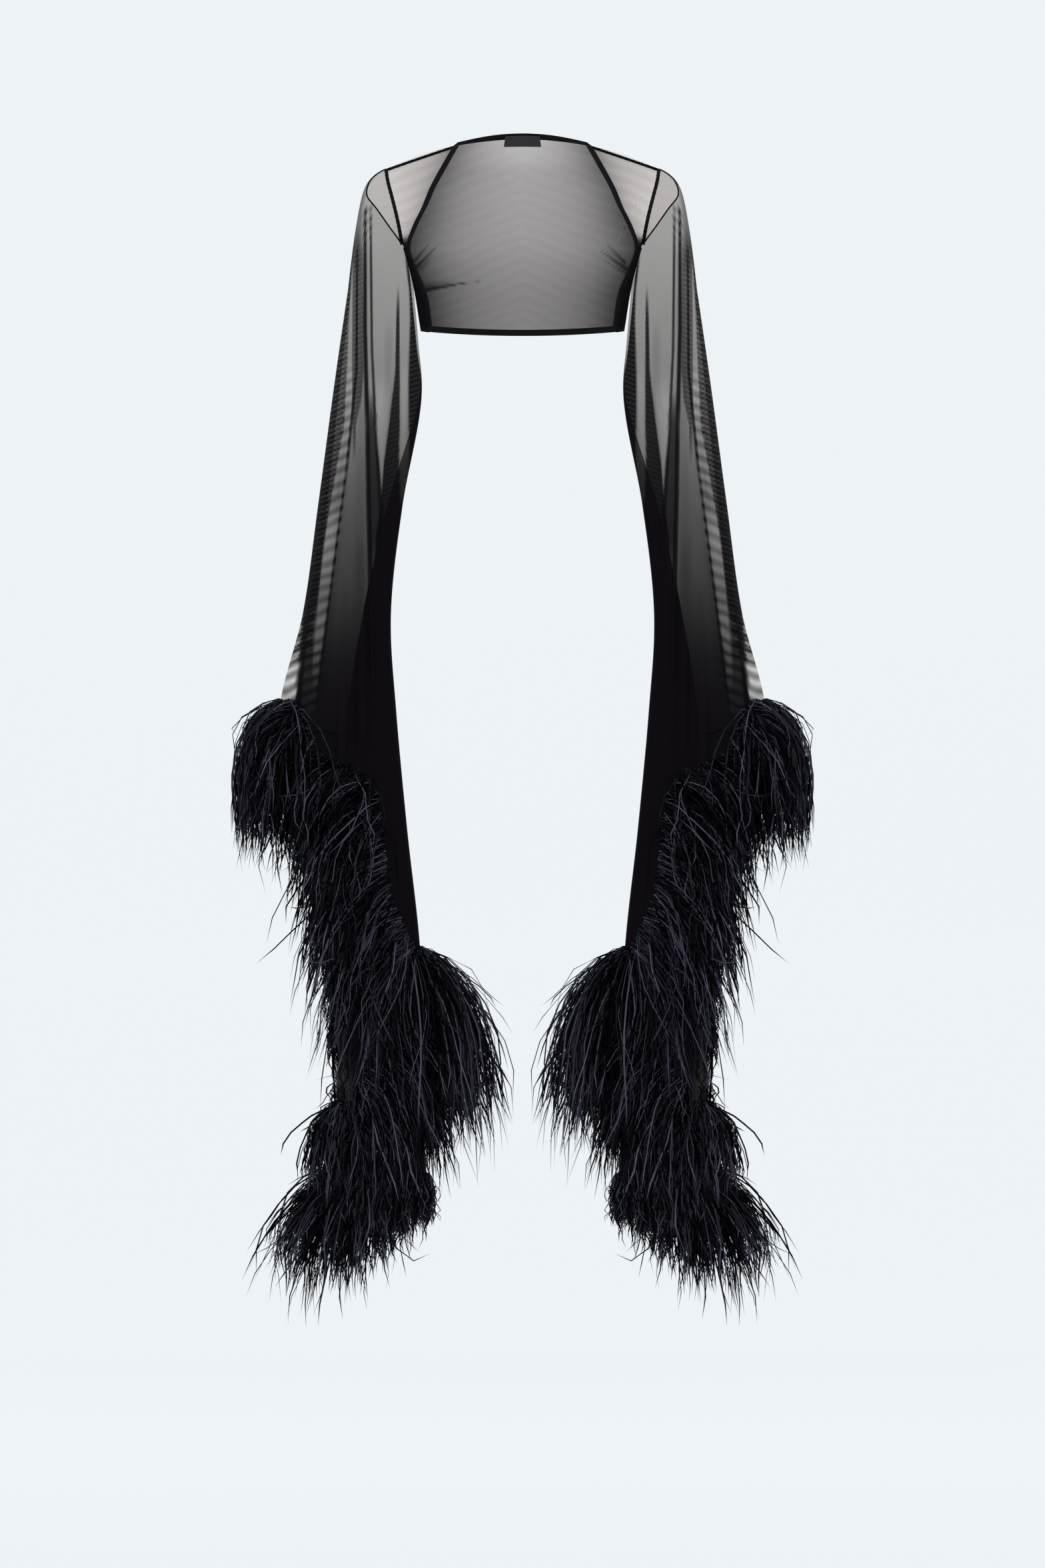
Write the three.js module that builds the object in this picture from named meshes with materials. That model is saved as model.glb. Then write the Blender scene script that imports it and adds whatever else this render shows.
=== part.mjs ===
import * as THREE from 'three';

// Feather shrug: a sheer net bolero with very long flared sleeves. Each slanted sleeve hem
// falls in a cascade of folds and is edged with ostrich feather.
// Millimetres, +Z up. The front faces -Y and the wearer's nape is the origin.
// Across is the distance from the centre line, and drop is the distance below the nape.

// Driving dimensions
const netThickness = 1.2;
const bindingThickness = 2;
const bindingWidth = 8;
const seamGap = 0.3;
const bindingGap = 0.5;
const shoulderSeamGap = 0.7;
const sideSeamGap = 1;
const armholeGap = 1.2;
const underarmGap = 1.6;
const labelHalfShare = 0.13;
const labelRise = 4.5;
const labelDepth = 12;
const labelThickness = 0.8;
const labelStandOff = 2.8;

// The back panel in rows from the hem up to the shoulder and neck line. half is the half
// width, side and centre give depth (Y) and height (Z) at the row's ends and middle, and
// turn is the share of the half width where the row has come forward to its side depth.
const backRows = [
  { half: 142, sideY: -88, sideZ: -263, centreY: 14, centreZ: -270, turn: 1 },
  { half: 149, sideY: -85, sideZ: -222, centreY: 24, centreZ: -226, turn: 1 },
  { half: 157, sideY: -82, sideZ: -186, centreY: 31, centreZ: -186, turn: 1 },
  { half: 166, sideY: -78, sideZ: -155, centreY: 35, centreZ: -150, turn: 1 },
  { half: 186, sideY: -66, sideZ: -126, centreY: 36, centreZ: -118, turn: 1 },
  { half: 203, sideY: -54, sideZ: -102, centreY: 33, centreZ: -88, turn: 0.97 },
  { half: 216, sideY: -48, sideZ: -84, centreY: 25, centreZ: -60, turn: 0.9 },
  { half: 213, sideY: -50, sideZ: -66, centreY: 14, centreZ: -34, turn: 0.76 },
  { half: 203, sideY: -55, sideZ: -55, centreY: 4, centreZ: -18, turn: 0.6 },
  { half: 190, sideY: -62, sideZ: -47.4, centreY: -2, centreZ: -4, turn: 0.5 },
];
const underarmRow = 3;
const backColumns = 20;
const roundness = 2.2;
const neckShare = 0.5;

// The front panel in rows from the shoulder seam down to the hem. outer is the armhole and
// side seam edge, inner is the front edge, and belly and arch swell the row between them.
const frontRows = [
  { outer: [190, -62, -47.4], inner: [95, -62, -15], belly: 0, arch: 2.71 },
  { outer: [189, -69, -51], inner: [98, -72, -19.5], belly: 1, arch: 3 },
  { outer: [186.5, -80, -66], inner: [112, -91, -44], belly: 3, arch: 2 },
  { outer: [180.5, -88, -89], inner: [128, -108, -74], belly: 4, arch: 0 },
  { outer: [174, -91, -115], inner: [139, -115, -101], belly: 3, arch: 0 },
  { outer: [169.5, -87, -136], inner: [153, -109, -130], belly: 2, arch: 0 },
  { outer: [166, -78, -155], inner: [160, -96, -156], belly: 1, arch: 0 },
  { outer: [157, -82, -186], inner: [151, -99, -187], belly: 1, arch: 0 },
  { outer: [149, -85, -222], inner: [138, -103, -223], belly: 1, arch: 0 },
  { outer: [142, -88, -263], inner: [131, -106, -265], belly: 1, arch: 0 },
];
const frontColumns = 5;

// The sleeve in sections from the upper arm to the lowest hem. outer and inner are its two
// edges across, heel is the inner edge of its back layer, groove is how far out the fold
// between them reaches, front and back are its depths, and pleat goes from 0, a round
// sleeve, to 1, a sleeve laid in layers.
const sleeveRows = [
  { drop: 215, outer: 243, inner: 155, heel: 155, groove: 190, front: -120, back: -30, pleat: 0 },
  { drop: 290, outer: 254, inner: 145, heel: 147, groove: 195, front: -125, back: -26, pleat: 0.05 },
  { drop: 368, outer: 265.5, inner: 140, heel: 143, groove: 200, front: -128, back: -24, pleat: 0.15 },
  { drop: 517, outer: 285, inner: 168, heel: 169, groove: 220, front: -132, back: -24, pleat: 0.45 },
  { drop: 666, outer: 308, inner: 184, heel: 185, groove: 236, front: -136, back: -28, pleat: 0.75 },
  { drop: 801, outer: 340, inner: 177, heel: 178, groove: 244, front: -142, back: -30, pleat: 1 },
  { drop: 963, outer: 340, inner: 160.5, heel: 164, groove: 248, front: -146, back: -28, pleat: 1 },
  { drop: 1150, outer: 338, inner: 141, heel: 150, groove: 252, front: -150, back: -26, pleat: 1 },
  { drop: 1461, outer: 333, inner: 133, heel: 133, groove: 264, front: -154, back: -20, pleat: 1 },
];
const upperArmDrop = 215;
const outerFoldRadius = 22;
const grooveFrontShare = 0.3;
const grooveBackShare = 0.65;
const squareness = 0.75;
const capRings = 3;
const capSwell = 8;
const sleeveRings = 9;

// The bend of the sleeve cap, as shares of the way from the armhole to the upper arm. The
// first value of a pair is at the shoulder and the second at the underarm.
const capBendAcross = [0.7, 0.5];
const capBendDepth = 0.45;
const capBendFall = [0.08, 0.5];

// The layers and folds of the sleeve in order, with the angles where each begins and ends.
const layerAngles = {
  outerFold: [150, 210],
  front: [210, 322],
  innerFold: [322, 334],
  grooveFront: [334, 352],
  grooveFold: [352, 368],
  grooveBack: [368, 386],
  heelFold: [386, 398],
  back: [398, 510],
};
const foldSteps = 4;
const grooveSteps = 3;

// Where each layer of the sleeve is cut off, from one fold to the next. share goes from the
// outer fold to the inner fold on the front layer, and from the heel to the outer fold on
// the back layer.
const outerHem = 801;
const innerHem = 1145;
const grooveHem = 1361;
const heelHem = 1461;
const frontHem = [
  { share: 0.1, drop: 838 },
  { share: 0.2, drop: 868 },
  { share: 0.36, drop: 884 },
  { share: 0.54, drop: 892 },
  { share: 0.68, drop: 900 },
  { share: 0.76, drop: 922 },
  { share: 0.785, drop: 980 },
  { share: 0.8, drop: 1040 },
  { share: 0.85, drop: 1082 },
  { share: 0.93, drop: 1114 },
];
const backHem = [
  { share: 0.16, drop: 1472 },
  { share: 0.33, drop: 1476 },
  { share: 0.5, drop: 1470 },
  { share: 0.64, drop: 1440 },
  { share: 0.7, drop: 1330 },
  { share: 0.74, drop: 1200 },
  { share: 0.8, drop: 1050 },
  { share: 0.9, drop: 910 },
];

// Soft ridges on the sleeve's front and back layers: each runs from one drop and distance
// across to another, stands proud by depth and fades over its width.
const sleeveRidges = [
  { layer: 'front', topDrop: 230, topAcross: 217, endDrop: 700, endAcross: 209, depth: 8, width: 11 },
  { layer: 'front', topDrop: 250, topAcross: 174, endDrop: 690, endAcross: 192, depth: 6, width: 9 },
  { layer: 'front', topDrop: 400, topAcross: 226, endDrop: 760, endAcross: 284, depth: 7, width: 11 },
  { layer: 'back', topDrop: 240, topAcross: 214, endDrop: 900, endAcross: 238, depth: 8, width: 12 },
  { layer: 'back', topDrop: 330, topAcross: 184, endDrop: 1100, endAcross: 196, depth: 7, width: 10 },
  { layer: 'back', topDrop: 420, topAcross: 238, endDrop: 820, endAcross: 286, depth: 6, width: 11 },
];
const ridgeFade = 90;

// The feather trim: a narrow backing just past the hem, and locks that spring out of it and
// droop. The spreads say how far a lock leans out of the cloth at the start, middle and end
// of each stretch: 0 hangs straight, 1 leaves the fold level.
const backingWidth = 5;
const backingThickness = 2.4;
const backingGap = 0.5;
const backingEnd = 0.8;
const lockRoot = 3.4;
const rootMargin = 2.8;
const lockWidth = 5;
const lockThickness = 3;
const lockSteps = [0.4, 0.75, 1];
const lockTaper = [1.1, 0.7];
const lockTries = 40;
const lockClearance = 7;
const clothClearance = 4;
const testedSteps = [0.15, 0.3, 0.45, 0.6, 0.75, 0.9, 1];

// A lock's course in shares of its length: how far out it bends and ends, how far its tip
// falls, and how much of that fall a lock that springs upwards is spared.
const lockBend = 0.42;
const lockReach = 0.58;
const lockFall = 0.62;
const lockLift = 0.38;

// How much the locks differ: factors on the usual spread and length, the sideways lean, and
// the factor on the length at the last try.
const spreadRange = [0.75, 1.3];
const lengthRange = [0.85, 1.12];
const leanRange = [-0.25, 0.25];
const lastTryLength = 0.5;
const trims = [
  { name: 'front', from: 'outer', to: 'inner', locks: 34, length: 168, spreads: [0.5, 0.3, 0.85] },
  { name: 'inner_fold', from: 'inner', to: 'groove', locks: 27, length: 212, spreads: [0.85, 0.3, 0.55] },
  { name: 'lower_fold', from: 'groove', to: 'heel', locks: 22, length: 158, spreads: [0.55, 0.2, 0.25] },
  { name: 'back', from: 'heel', to: 'outer', locks: 36, length: 160, spreads: [0.25, 0.6, 0.5] },
];
const flatFan = 0.4;

const lerp = THREE.MathUtils.lerp;
const clamp = THREE.MathUtils.clamp;
const radians = THREE.MathUtils.degToRad;

// A smooth curve through one column of a table, read at a value of its key column.
function column(rows, key, at, name) {
  let i = 0;
  while (i < rows.length - 2 && at > rows[i + 1][key]) i += 1;
  const a = rows[i];
  const b = rows[i + 1];
  const before = rows[Math.max(i - 1, 0)];
  const after = rows[Math.min(i + 2, rows.length - 1)];
  const span = b[key] - a[key];
  const t = clamp((at - a[key]) / span, 0, 1);
  const slopeA = (b[name] - before[name]) / (b[key] - before[key]) * span;
  const slopeB = (after[name] - a[name]) / (after[key] - a[key]) * span;
  const t2 = t * t;
  const t3 = t2 * t;
  return (2 * t3 - 3 * t2 + 1) * a[name] + (t3 - 2 * t2 + t) * slopeA
    + (3 * t2 - 2 * t3) * b[name] + (t3 - t2) * slopeB;
}

// Unit normals of a grid of points, grid[i][j]. A closed grid joins its last i to its first.
function gridNormals(grid, closed) {
  const count = grid.length;
  return grid.map((line, i) => line.map((point, j) => {
    const next = closed ? grid[(i + 1) % count] : grid[Math.min(i + 1, count - 1)];
    const last = closed ? grid[(i + count - 1) % count] : grid[Math.max(i - 1, 0)];
    const across = next[j].clone().sub(last[j]);
    const down = line[Math.min(j + 1, line.length - 1)].clone().sub(line[Math.max(j - 1, 0)]);
    return across.cross(down).normalize();
  }));
}

// A closed geometry from points and triangles, its faces turned outwards.
function solid(points, triangles) {
  let volume = 0;
  for (const [a, b, c] of triangles) {
    volume += points[a].dot(points[b].clone().cross(points[c]));
  }
  const turned = volume < 0 ? triangles.map(([a, b, c]) => [a, c, b]) : triangles;
  const geometry = new THREE.BufferGeometry();
  const positions = points.flatMap((point) => point.toArray());
  geometry.setAttribute('position', new THREE.Float32BufferAttribute(positions, 3));
  geometry.setIndex(turned.flat());
  return geometry;
}

// A wall of one thickness on a grid of middle points, closed at its rims.
function wall(grid, thickness, closed = false) {
  const normals = gridNormals(grid, closed);
  const count = grid.length;
  const lines = grid[0].length;
  const points = [];
  for (const side of [0.5, -0.5]) {
    grid.forEach((line, i) => line.forEach((point, j) => {
      points.push(point.clone().addScaledVector(normals[i][j], side * thickness));
    }));
  }
  const inside = count * lines;
  const at = (i, j) => (i % count) * lines + j;
  const triangles = [];
  const quad = (a, b, c, d) => triangles.push([a, b, c], [a, c, d]);
  const last = closed ? count : count - 1;
  for (let i = 0; i < last; i += 1) {
    for (let j = 0; j < lines - 1; j += 1) {
      quad(at(i, j), at(i + 1, j), at(i + 1, j + 1), at(i, j + 1));
      triangles.push([inside + at(i, j), inside + at(i + 1, j + 1), inside + at(i + 1, j)]);
      triangles.push([inside + at(i, j), inside + at(i, j + 1), inside + at(i + 1, j + 1)]);
    }
    quad(at(i + 1, 0), at(i, 0), inside + at(i, 0), inside + at(i + 1, 0));
    const end = lines - 1;
    quad(at(i, end), at(i + 1, end), inside + at(i + 1, end), inside + at(i, end));
  }
  if (!closed) {
    for (let j = 0; j < lines - 1; j += 1) {
      quad(at(0, j), at(0, j + 1), inside + at(0, j + 1), inside + at(0, j));
      const end = count - 1;
      quad(at(end, j + 1), at(end, j), inside + at(end, j), inside + at(end, j + 1));
    }
  }
  return solid(points, triangles);
}

// A point of the back panel: share goes from -1 at the left side to 1 at the right side.
function backPoint(row, share) {
  const bent = Math.min(1, Math.abs(share) / row.turn) ** roundness;
  return new THREE.Vector3(
    row.half * share,
    lerp(row.centreY, row.sideY, bent),
    lerp(row.centreZ, row.sideZ, share * share),
  );
}

function backShares() {
  return Array.from({ length: backColumns + 1 }, (_, k) => (2 * k) / backColumns - 1);
}

function backGrid() {
  return backShares().map((share) => backRows.map((row) => backPoint(row, share)));
}

// A point of the right front panel: share goes from 0 at the front edge to 1 at the
// armhole or the side seam.
function frontPoint(row, share) {
  const swell = 4 * share * (1 - share);
  const point = new THREE.Vector3(...row.inner).lerp(new THREE.Vector3(...row.outer), share);
  const onShoulder = row === frontRows[0];
  point.y -= row.belly * swell + (onShoulder ? shoulderSeamGap : sideSeamGap * share);
  point.z += row.arch * swell;
  return point;
}

function frontGrid() {
  const shares = Array.from({ length: frontColumns + 1 }, (_, k) => k / frontColumns);
  return shares.map((share) => frontRows.map((row) => frontPoint(row, share)));
}

function underarmFrontRow() {
  return frontRows.findIndex((row) => row.outer[0] === backRows[underarmRow].half);
}

// The armhole, read by the angle round the sleeve: 180 at the shoulder, 270 in front, 0 at
// the underarm and 90 behind.
const armhole = {
  front: new THREE.CatmullRomCurve3(
    frontRows.slice(0, underarmFrontRow() + 1).map((row) => new THREE.Vector3(...row.outer)),
  ),
  back: new THREE.CatmullRomCurve3(
    backRows.slice(underarmRow).reverse()
      .map((row) => new THREE.Vector3(row.half, row.sideY, row.sideZ)),
  ),
};

function armholePoint(angle) {
  const point = angle >= 180
    ? armhole.front.getPointAt((angle - 180) / 180)
    : armhole.back.getPointAt((180 - angle) / 180);
  const low = Math.max(0, Math.cos(radians(angle))) ** 2;
  point.x += lerp(armholeGap, underarmGap, low);
  return point;
}

// The strands of a sleeve, round from the outer fold: its layer, its share of that layer,
// its angle on the round sleeve and the drop of its hem.
function sleeveStrands() {
  const strands = [];
  const add = (layer, { share, drop }, mark) => {
    strands.push({ layer, share, angle: lerp(...layerAngles[layer], share), drop, mark });
  };
  const fold = (layer, drop, mark) => {
    for (let k = 0; k <= foldSteps; k += 1) {
      add(layer, { share: k / foldSteps, drop }, k === foldSteps / 2 ? mark : undefined);
    }
  };
  const between = (layer, rows) => rows.forEach((row) => add(layer, row));
  const eased = (fromDrop, toDrop) => Array.from({ length: grooveSteps }, (_, k) => {
    const share = (k + 1) / (grooveSteps + 1);
    return { share, drop: lerp(fromDrop, toDrop, THREE.MathUtils.smoothstep(share, 0, 1)) };
  });
  fold('outerFold', outerHem, 'outer');
  between('front', frontHem);
  fold('innerFold', innerHem, 'inner');
  between('grooveFront', eased(innerHem, grooveHem));
  fold('grooveFold', grooveHem, 'groove');
  between('grooveBack', eased(grooveHem, heelHem));
  fold('heelFold', heelHem, 'heel');
  between('back', backHem);
  return strands;
}

// The sleeve laid in layers, seen from above: across and depth of a strand at a drop.
function layeredPlan(strand, section) {
  const { outer, inner, heel, groove, front, back } = section;
  const grooveFront = lerp(front, back, grooveFrontShare);
  const grooveBack = lerp(front, back, grooveBackShare);
  const innerRadius = (grooveFront - front) / 2;
  const grooveRadius = (grooveBack - grooveFront) / 2;
  const heelRadius = (back - grooveBack) / 2;
  const outerEnd = outer - outerFoldRadius;
  const swing = radians(lerp(-90, 90, strand.share));
  const round = (centre, middle, reach, rise, turn) => [
    centre + reach * Math.cos(turn),
    middle + rise * Math.sin(turn),
  ];
  const places = {
    front: () => [lerp(outerEnd, inner + innerRadius, strand.share), front],
    innerFold: () => round(inner + innerRadius, front + innerRadius, -innerRadius, innerRadius, swing),
    grooveFront: () => [lerp(inner + innerRadius, groove - grooveRadius, strand.share), grooveFront],
    grooveFold: () => round(
      groove - grooveRadius, grooveFront + grooveRadius, grooveRadius, grooveRadius, swing,
    ),
    grooveBack: () => [lerp(groove - grooveRadius, heel + heelRadius, strand.share), grooveBack],
    heelFold: () => round(heel + heelRadius, grooveBack + heelRadius, -heelRadius, heelRadius, swing),
    back: () => [lerp(heel + heelRadius, outerEnd, strand.share), back],
    outerFold: () => round(outerEnd, (front + back) / 2, outerFoldRadius, (back - front) / 2, -swing),
  };
  return places[strand.layer]();
}

// The sleeve as a plain rounded tube, seen from above.
function roundPlan(strand, section) {
  const turn = radians(strand.angle);
  const power = (value) => Math.sign(value) * Math.abs(value) ** squareness;
  const middle = (section.outer + section.inner) / 2;
  const reach = (section.outer - section.inner) / 2;
  const depth = (section.front + section.back) / 2;
  const rise = (section.back - section.front) / 2;
  return [middle - reach * power(Math.cos(turn)), depth + rise * power(Math.sin(turn))];
}

function ridgeRise(layer, across, drop) {
  let rise = 0;
  for (const ridge of sleeveRidges) {
    if (ridge.layer !== layer) continue;
    const way = (drop - ridge.topDrop) / (ridge.endDrop - ridge.topDrop);
    const centre = lerp(ridge.topAcross, ridge.endAcross, way);
    const fade = Math.min(drop - ridge.topDrop, ridge.endDrop - drop) / ridgeFade;
    const off = (across - centre) / ridge.width;
    rise += ridge.depth * THREE.MathUtils.smoothstep(fade, 0, 1) * Math.exp(-off * off);
  }
  return rise;
}

function sleevePoint(strand, drop) {
  const section = {};
  for (const name of ['outer', 'inner', 'heel', 'groove', 'front', 'back', 'pleat']) {
    section[name] = column(sleeveRows, 'drop', drop, name);
  }
  const plain = roundPlan(strand, section);
  const layered = layeredPlan(strand, section);
  const across = lerp(plain[0], layered[0], section.pleat);
  let depth = lerp(plain[1], layered[1], section.pleat);
  if (strand.layer === 'front') depth -= ridgeRise('front', across, drop);
  if (strand.layer === 'back') depth += ridgeRise('back', across, drop);
  return new THREE.Vector3(across, depth, -drop);
}

// One strand of the right sleeve, from the armhole over the cap and down to its hem.
function strandPoints(strand) {
  const start = armholePoint(strand.angle % 360);
  const arm = sleevePoint(strand, upperArmDrop);
  const low = Math.max(0, Math.cos(radians(strand.angle)));
  const bulge = start.clone().lerp(arm, lerp(...capBendAcross, low));
  bulge.x += capSwell * (1 - low) * Math.abs(Math.sin(radians(strand.angle)));
  bulge.y = lerp(start.y, arm.y, capBendDepth);
  bulge.z = lerp(start.z, arm.z, lerp(...capBendFall, low));
  const cap = new THREE.QuadraticBezierCurve3(start, bulge, arm);
  const points = cap.getPoints(capRings);
  for (let k = 1; k <= sleeveRings; k += 1) {
    points.push(sleevePoint(strand, lerp(upperArmDrop, strand.drop, k / sleeveRings)));
  }
  return points;
}

const strands = sleeveStrands();
const sleeveGrid = strands.map(strandPoints);

// The way feathers fan out of the sleeve, seen from above: straight out of a fold, and a
// little to the front or the back from a flat layer.
function fanOut({ layer, share }) {
  const swing = radians(lerp(-90, 90, share));
  const flat = (depth) => new THREE.Vector3(0, depth * flatFan, 0);
  const round = (turn, way) => new THREE.Vector3(way * Math.cos(turn), Math.sin(turn), 0)
    .multiplyScalar(lerp(flatFan, 1, Math.sin(Math.PI * share)));
  const fans = {
    outerFold: () => round(-swing, 1),
    front: () => flat(-1),
    innerFold: () => round(swing, -1),
    grooveFront: () => flat(lerp(1, -1, share)),
    grooveFold: () => round(swing, 1),
    grooveBack: () => flat(lerp(1, -1, share)),
    heelFold: () => round(swing, -1),
    back: () => flat(1),
  };
  return fans[layer]();
}

// The sleeve's hem, strand by strand: its point, the way along it, the way out of the cloth
// in the cloth's own surface, and the way its feathers fan.
function hemLine() {
  const normals = gridNormals(sleeveGrid, true);
  const count = sleeveGrid.length;
  const end = sleeveGrid[0].length - 1;
  const hem = sleeveGrid.map((line) => line[end]);
  return hem.map((point, i) => {
    const along = hem[(i + 1) % count].clone().sub(hem[(i + count - 1) % count]).normalize();
    const away = along.clone().cross(normals[i][end]).normalize();
    if (away.dot(point.clone().sub(sleeveGrid[i][end - 1])) < 0) away.negate();
    return { point, along, away, fan: fanOut(strands[i]), mark: strands[i].mark };
  });
}

// The stretch of the hem between two marked folds, with the length reached at each point.
function hemStretch(hem, from, to) {
  const start = hem.findIndex((entry) => entry.mark === from);
  const stretch = [{ ...hem[start], reached: 0 }];
  for (let k = 1; stretch[stretch.length - 1].mark !== to; k += 1) {
    const entry = hem[(start + k) % hem.length];
    const last = stretch[stretch.length - 1];
    stretch.push({ ...entry, reached: last.reached + entry.point.distanceTo(last.point) });
  }
  return stretch;
}

// A place along a hem stretch, at a length from its start.
function hemPlace(stretch, length) {
  let k = 0;
  while (k < stretch.length - 2 && stretch[k + 1].reached < length) k += 1;
  const [a, b] = [stretch[k], stretch[k + 1]];
  const way = (length - a.reached) / (b.reached - a.reached);
  const mix = (name) => a[name].clone().lerp(b[name], way);
  return {
    point: mix('point'), along: mix('along').normalize(), away: mix('away').normalize(), fan: mix('fan'),
  };
}

// The same uneven numbers every time, between 0 and 1.
const unevenStep = 127.1;
const unevenStart = 11.7;
const unevenScale = 43758.5453;

function uneven(seed) {
  const value = Math.sin(seed * unevenStep + unevenStart) * unevenScale;
  return value - Math.floor(value);
}

// The distance from a point to the sleeve's cloth, measured level, layer by layer.
const planStep = 8;
const plans = new Map();

function clothDistance(point) {
  const level = Math.round(-point.z / planStep);
  if (!plans.has(level)) {
    plans.set(level, strands.map((strand) => (
      strand.drop >= level * planStep ? sleevePoint(strand, level * planStep) : null
    )));
  }
  const plan = plans.get(level);
  const foot = new THREE.Vector3();
  let nearest = Infinity;
  plan.forEach((start, i) => {
    const end = plan[(i + 1) % plan.length];
    if (!start || !end) return;
    new THREE.Line3(start, end).closestPointToPoint(point, true, foot);
    nearest = Math.min(nearest, Math.hypot(foot.x - point.x, foot.y - point.y));
  });
  return nearest;
}

// The course of one lock: it springs out of the backing and droops under its own weight.
function lockCurve(place, spread, length, skew) {
  const root = place.point.clone().addScaledVector(place.away, backingGap + backingWidth);
  const spring = place.away.clone().multiplyScalar(1 - spread)
    .addScaledVector(place.fan, spread)
    .addScaledVector(place.along, skew)
    .normalize();
  const bend = root.clone().addScaledVector(spring, length * lockBend);
  const tip = root.clone().addScaledVector(spring, length * lockReach);
  tip.z = root.z - length * (lockFall - lockLift * spring.z);
  return new THREE.QuadraticBezierCurve3(root, bend, tip);
}

// A course that stands apart from the locks and cloth round it: the tries differ in spread,
// length and skew, and the later ones are shorter.
function freeLock(place, trim, share, index, placed) {
  const [first, middle, last] = trim.spreads;
  const usual = share < 0.5 ? lerp(first, middle, share * 2) : lerp(middle, last, share * 2 - 1);
  let best = { room: -Infinity };
  for (let attempt = 0; attempt < lockTries && best.room < 0; attempt += 1) {
    const pick = (salt) => uneven(index * 7.3 + attempt * 1.9 + salt);
    const spread = clamp(usual * lerp(...spreadRange, pick(1)), 0, 1);
    const short = lerp(1, lastTryLength, attempt / lockTries);
    const length = trim.length * lerp(...lengthRange, pick(2)) * short;
    const curve = lockCurve(place, spread, length, lerp(...leanRange, pick(3)));
    const course = testedSteps.map((step) => curve.getPoint(step));
    const toLocks = Math.min(...placed.flatMap((other) => (
      course.map((point) => Math.min(...other.map((spot) => spot.distanceTo(point))))
    )), Infinity);
    const toCloth = Math.min(...course.slice(1).map(clothDistance));
    const room = Math.min(toLocks - lockClearance, toCloth - clothClearance);
    if (room > best.room) best = { room, curve, course };
  }
  placed.push(best.course);
  return best.curve;
}

// A length along the hem where a lock's root lies between two of the hem's corners.
function besideCorners(stretch, middle) {
  const near = stretch.find(({ reached }) => Math.abs(reached - middle) < rootMargin);
  return near ? near.reached + (middle < near.reached ? -rootMargin : rootMargin) : middle;
}

// One stretch of feather trim: a backing with a vertex ring at each root, each lock drawn
// out of the backing's lower face and carried along its course to a point.
function trimGeometry(hem, trim, placed) {
  const stretch = hemStretch(hem, trim.from, trim.to);
  const whole = stretch[stretch.length - 1].reached;
  const stations = [{ at: backingEnd }, { at: whole - backingEnd }];
  for (let k = 0; k < trim.locks; k += 1) {
    const middle = besideCorners(stretch, (k + 0.5) / trim.locks * whole);
    const curve = freeLock(hemPlace(stretch, middle), trim, middle / whole, k, placed);
    stations.push({ at: middle - lockRoot / 2, curve }, { at: middle + lockRoot / 2 });
  }
  for (const { reached } of stretch.slice(1, -1)) stations.push({ at: reached });
  stations.sort((a, b) => a.at - b.at);
  const points = [];
  const triangles = [];
  const quad = (a, b, c, d) => triangles.push([a, b, c], [a, c, d]);
  for (const station of stations) {
    const { point, along, away } = hemPlace(stretch, station.at);
    const thick = along.clone().cross(away).setLength(backingThickness / 2);
    const near = point.clone().addScaledVector(away, backingGap);
    const far = near.clone().addScaledVector(away, backingWidth);
    points.push(near.clone().add(thick), near.sub(thick), far.clone().sub(thick), far.add(thick));
    Object.assign(station, { along, thick: thick.normalize() });
  }
  stations.slice(0, -1).forEach((station, i) => {
    const here = i * 4;
    const next = here + 4;
    for (const corner of [0, 1, 3]) {
      const turned = (corner + 1) % 4;
      quad(here + corner, here + turned, next + turned, next + corner);
    }
    const root = [here + 2, here + 3, next + 3, next + 2];
    if (station.curve) drawLock(points, triangles, root, station);
    else quad(...root);
  });
  const end = (stations.length - 1) * 4;
  triangles.push([0, 3, 2], [0, 2, 1], [end, end + 1, end + 2], [end, end + 2, end + 3]);
  return solid(points, triangles);
}

function drawLock(points, triangles, root, { curve, along, thick }) {
  const flat = along.clone();
  const proud = thick.clone();
  let way = curve.getTangent(0);
  let ring = root;
  const join = (next) => {
    for (let corner = 0; corner < 4; corner += 1) {
      const turned = (corner + 1) % 4;
      triangles.push([ring[corner], ring[turned], next[turned]]);
      if (next[turned] !== next[corner]) triangles.push([ring[corner], next[turned], next[corner]]);
    }
  };
  for (const step of lockSteps) {
    const now = curve.getTangent(step);
    const turn = new THREE.Quaternion().setFromUnitVectors(way, now);
    flat.applyQuaternion(turn);
    proud.applyQuaternion(turn);
    way = now;
    const centre = curve.getPoint(step);
    const first = points.length;
    if (step === 1) {
      points.push(centre);
      join([first, first, first, first]);
      return;
    }
    for (const [across, out] of [[-1, -1], [-1, 1], [1, 1], [1, -1]]) {
      points.push(centre.clone()
        .addScaledVector(flat, across * lockWidth / 2 * lerp(...lockTaper, step))
        .addScaledVector(proud, out * lockThickness / 2 * lerp(...lockTaper, step)));
    }
    const next = [first, first + 1, first + 2, first + 3];
    join(next);
    ring = next;
  }
}

// A binding strip past an edge: edge points, and the way out of the panel at each.
function bindingGeometry(edge) {
  const grid = edge.map(({ point, away }) => [
    point.clone().addScaledVector(away, bindingGap),
    point.clone().addScaledVector(away, bindingGap + bindingWidth),
  ]);
  return wall(grid, bindingThickness);
}

function wayOut(point, inside) {
  return point.clone().sub(inside).normalize();
}

function neckEdge() {
  const top = backRows[backRows.length - 1];
  const below = backRows[backRows.length - 2];
  return backShares().filter((share) => Math.abs(share) <= neckShare + 0.001).map((share) => {
    const point = backPoint(top, share);
    return { point, away: wayOut(point, backPoint(below, share)) };
  });
}

function frontEdge() {
  return frontRows.map((row) => {
    const point = frontPoint(row, 0);
    return { point, away: wayOut(point, frontPoint(row, 1 / frontColumns)) };
  });
}

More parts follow.
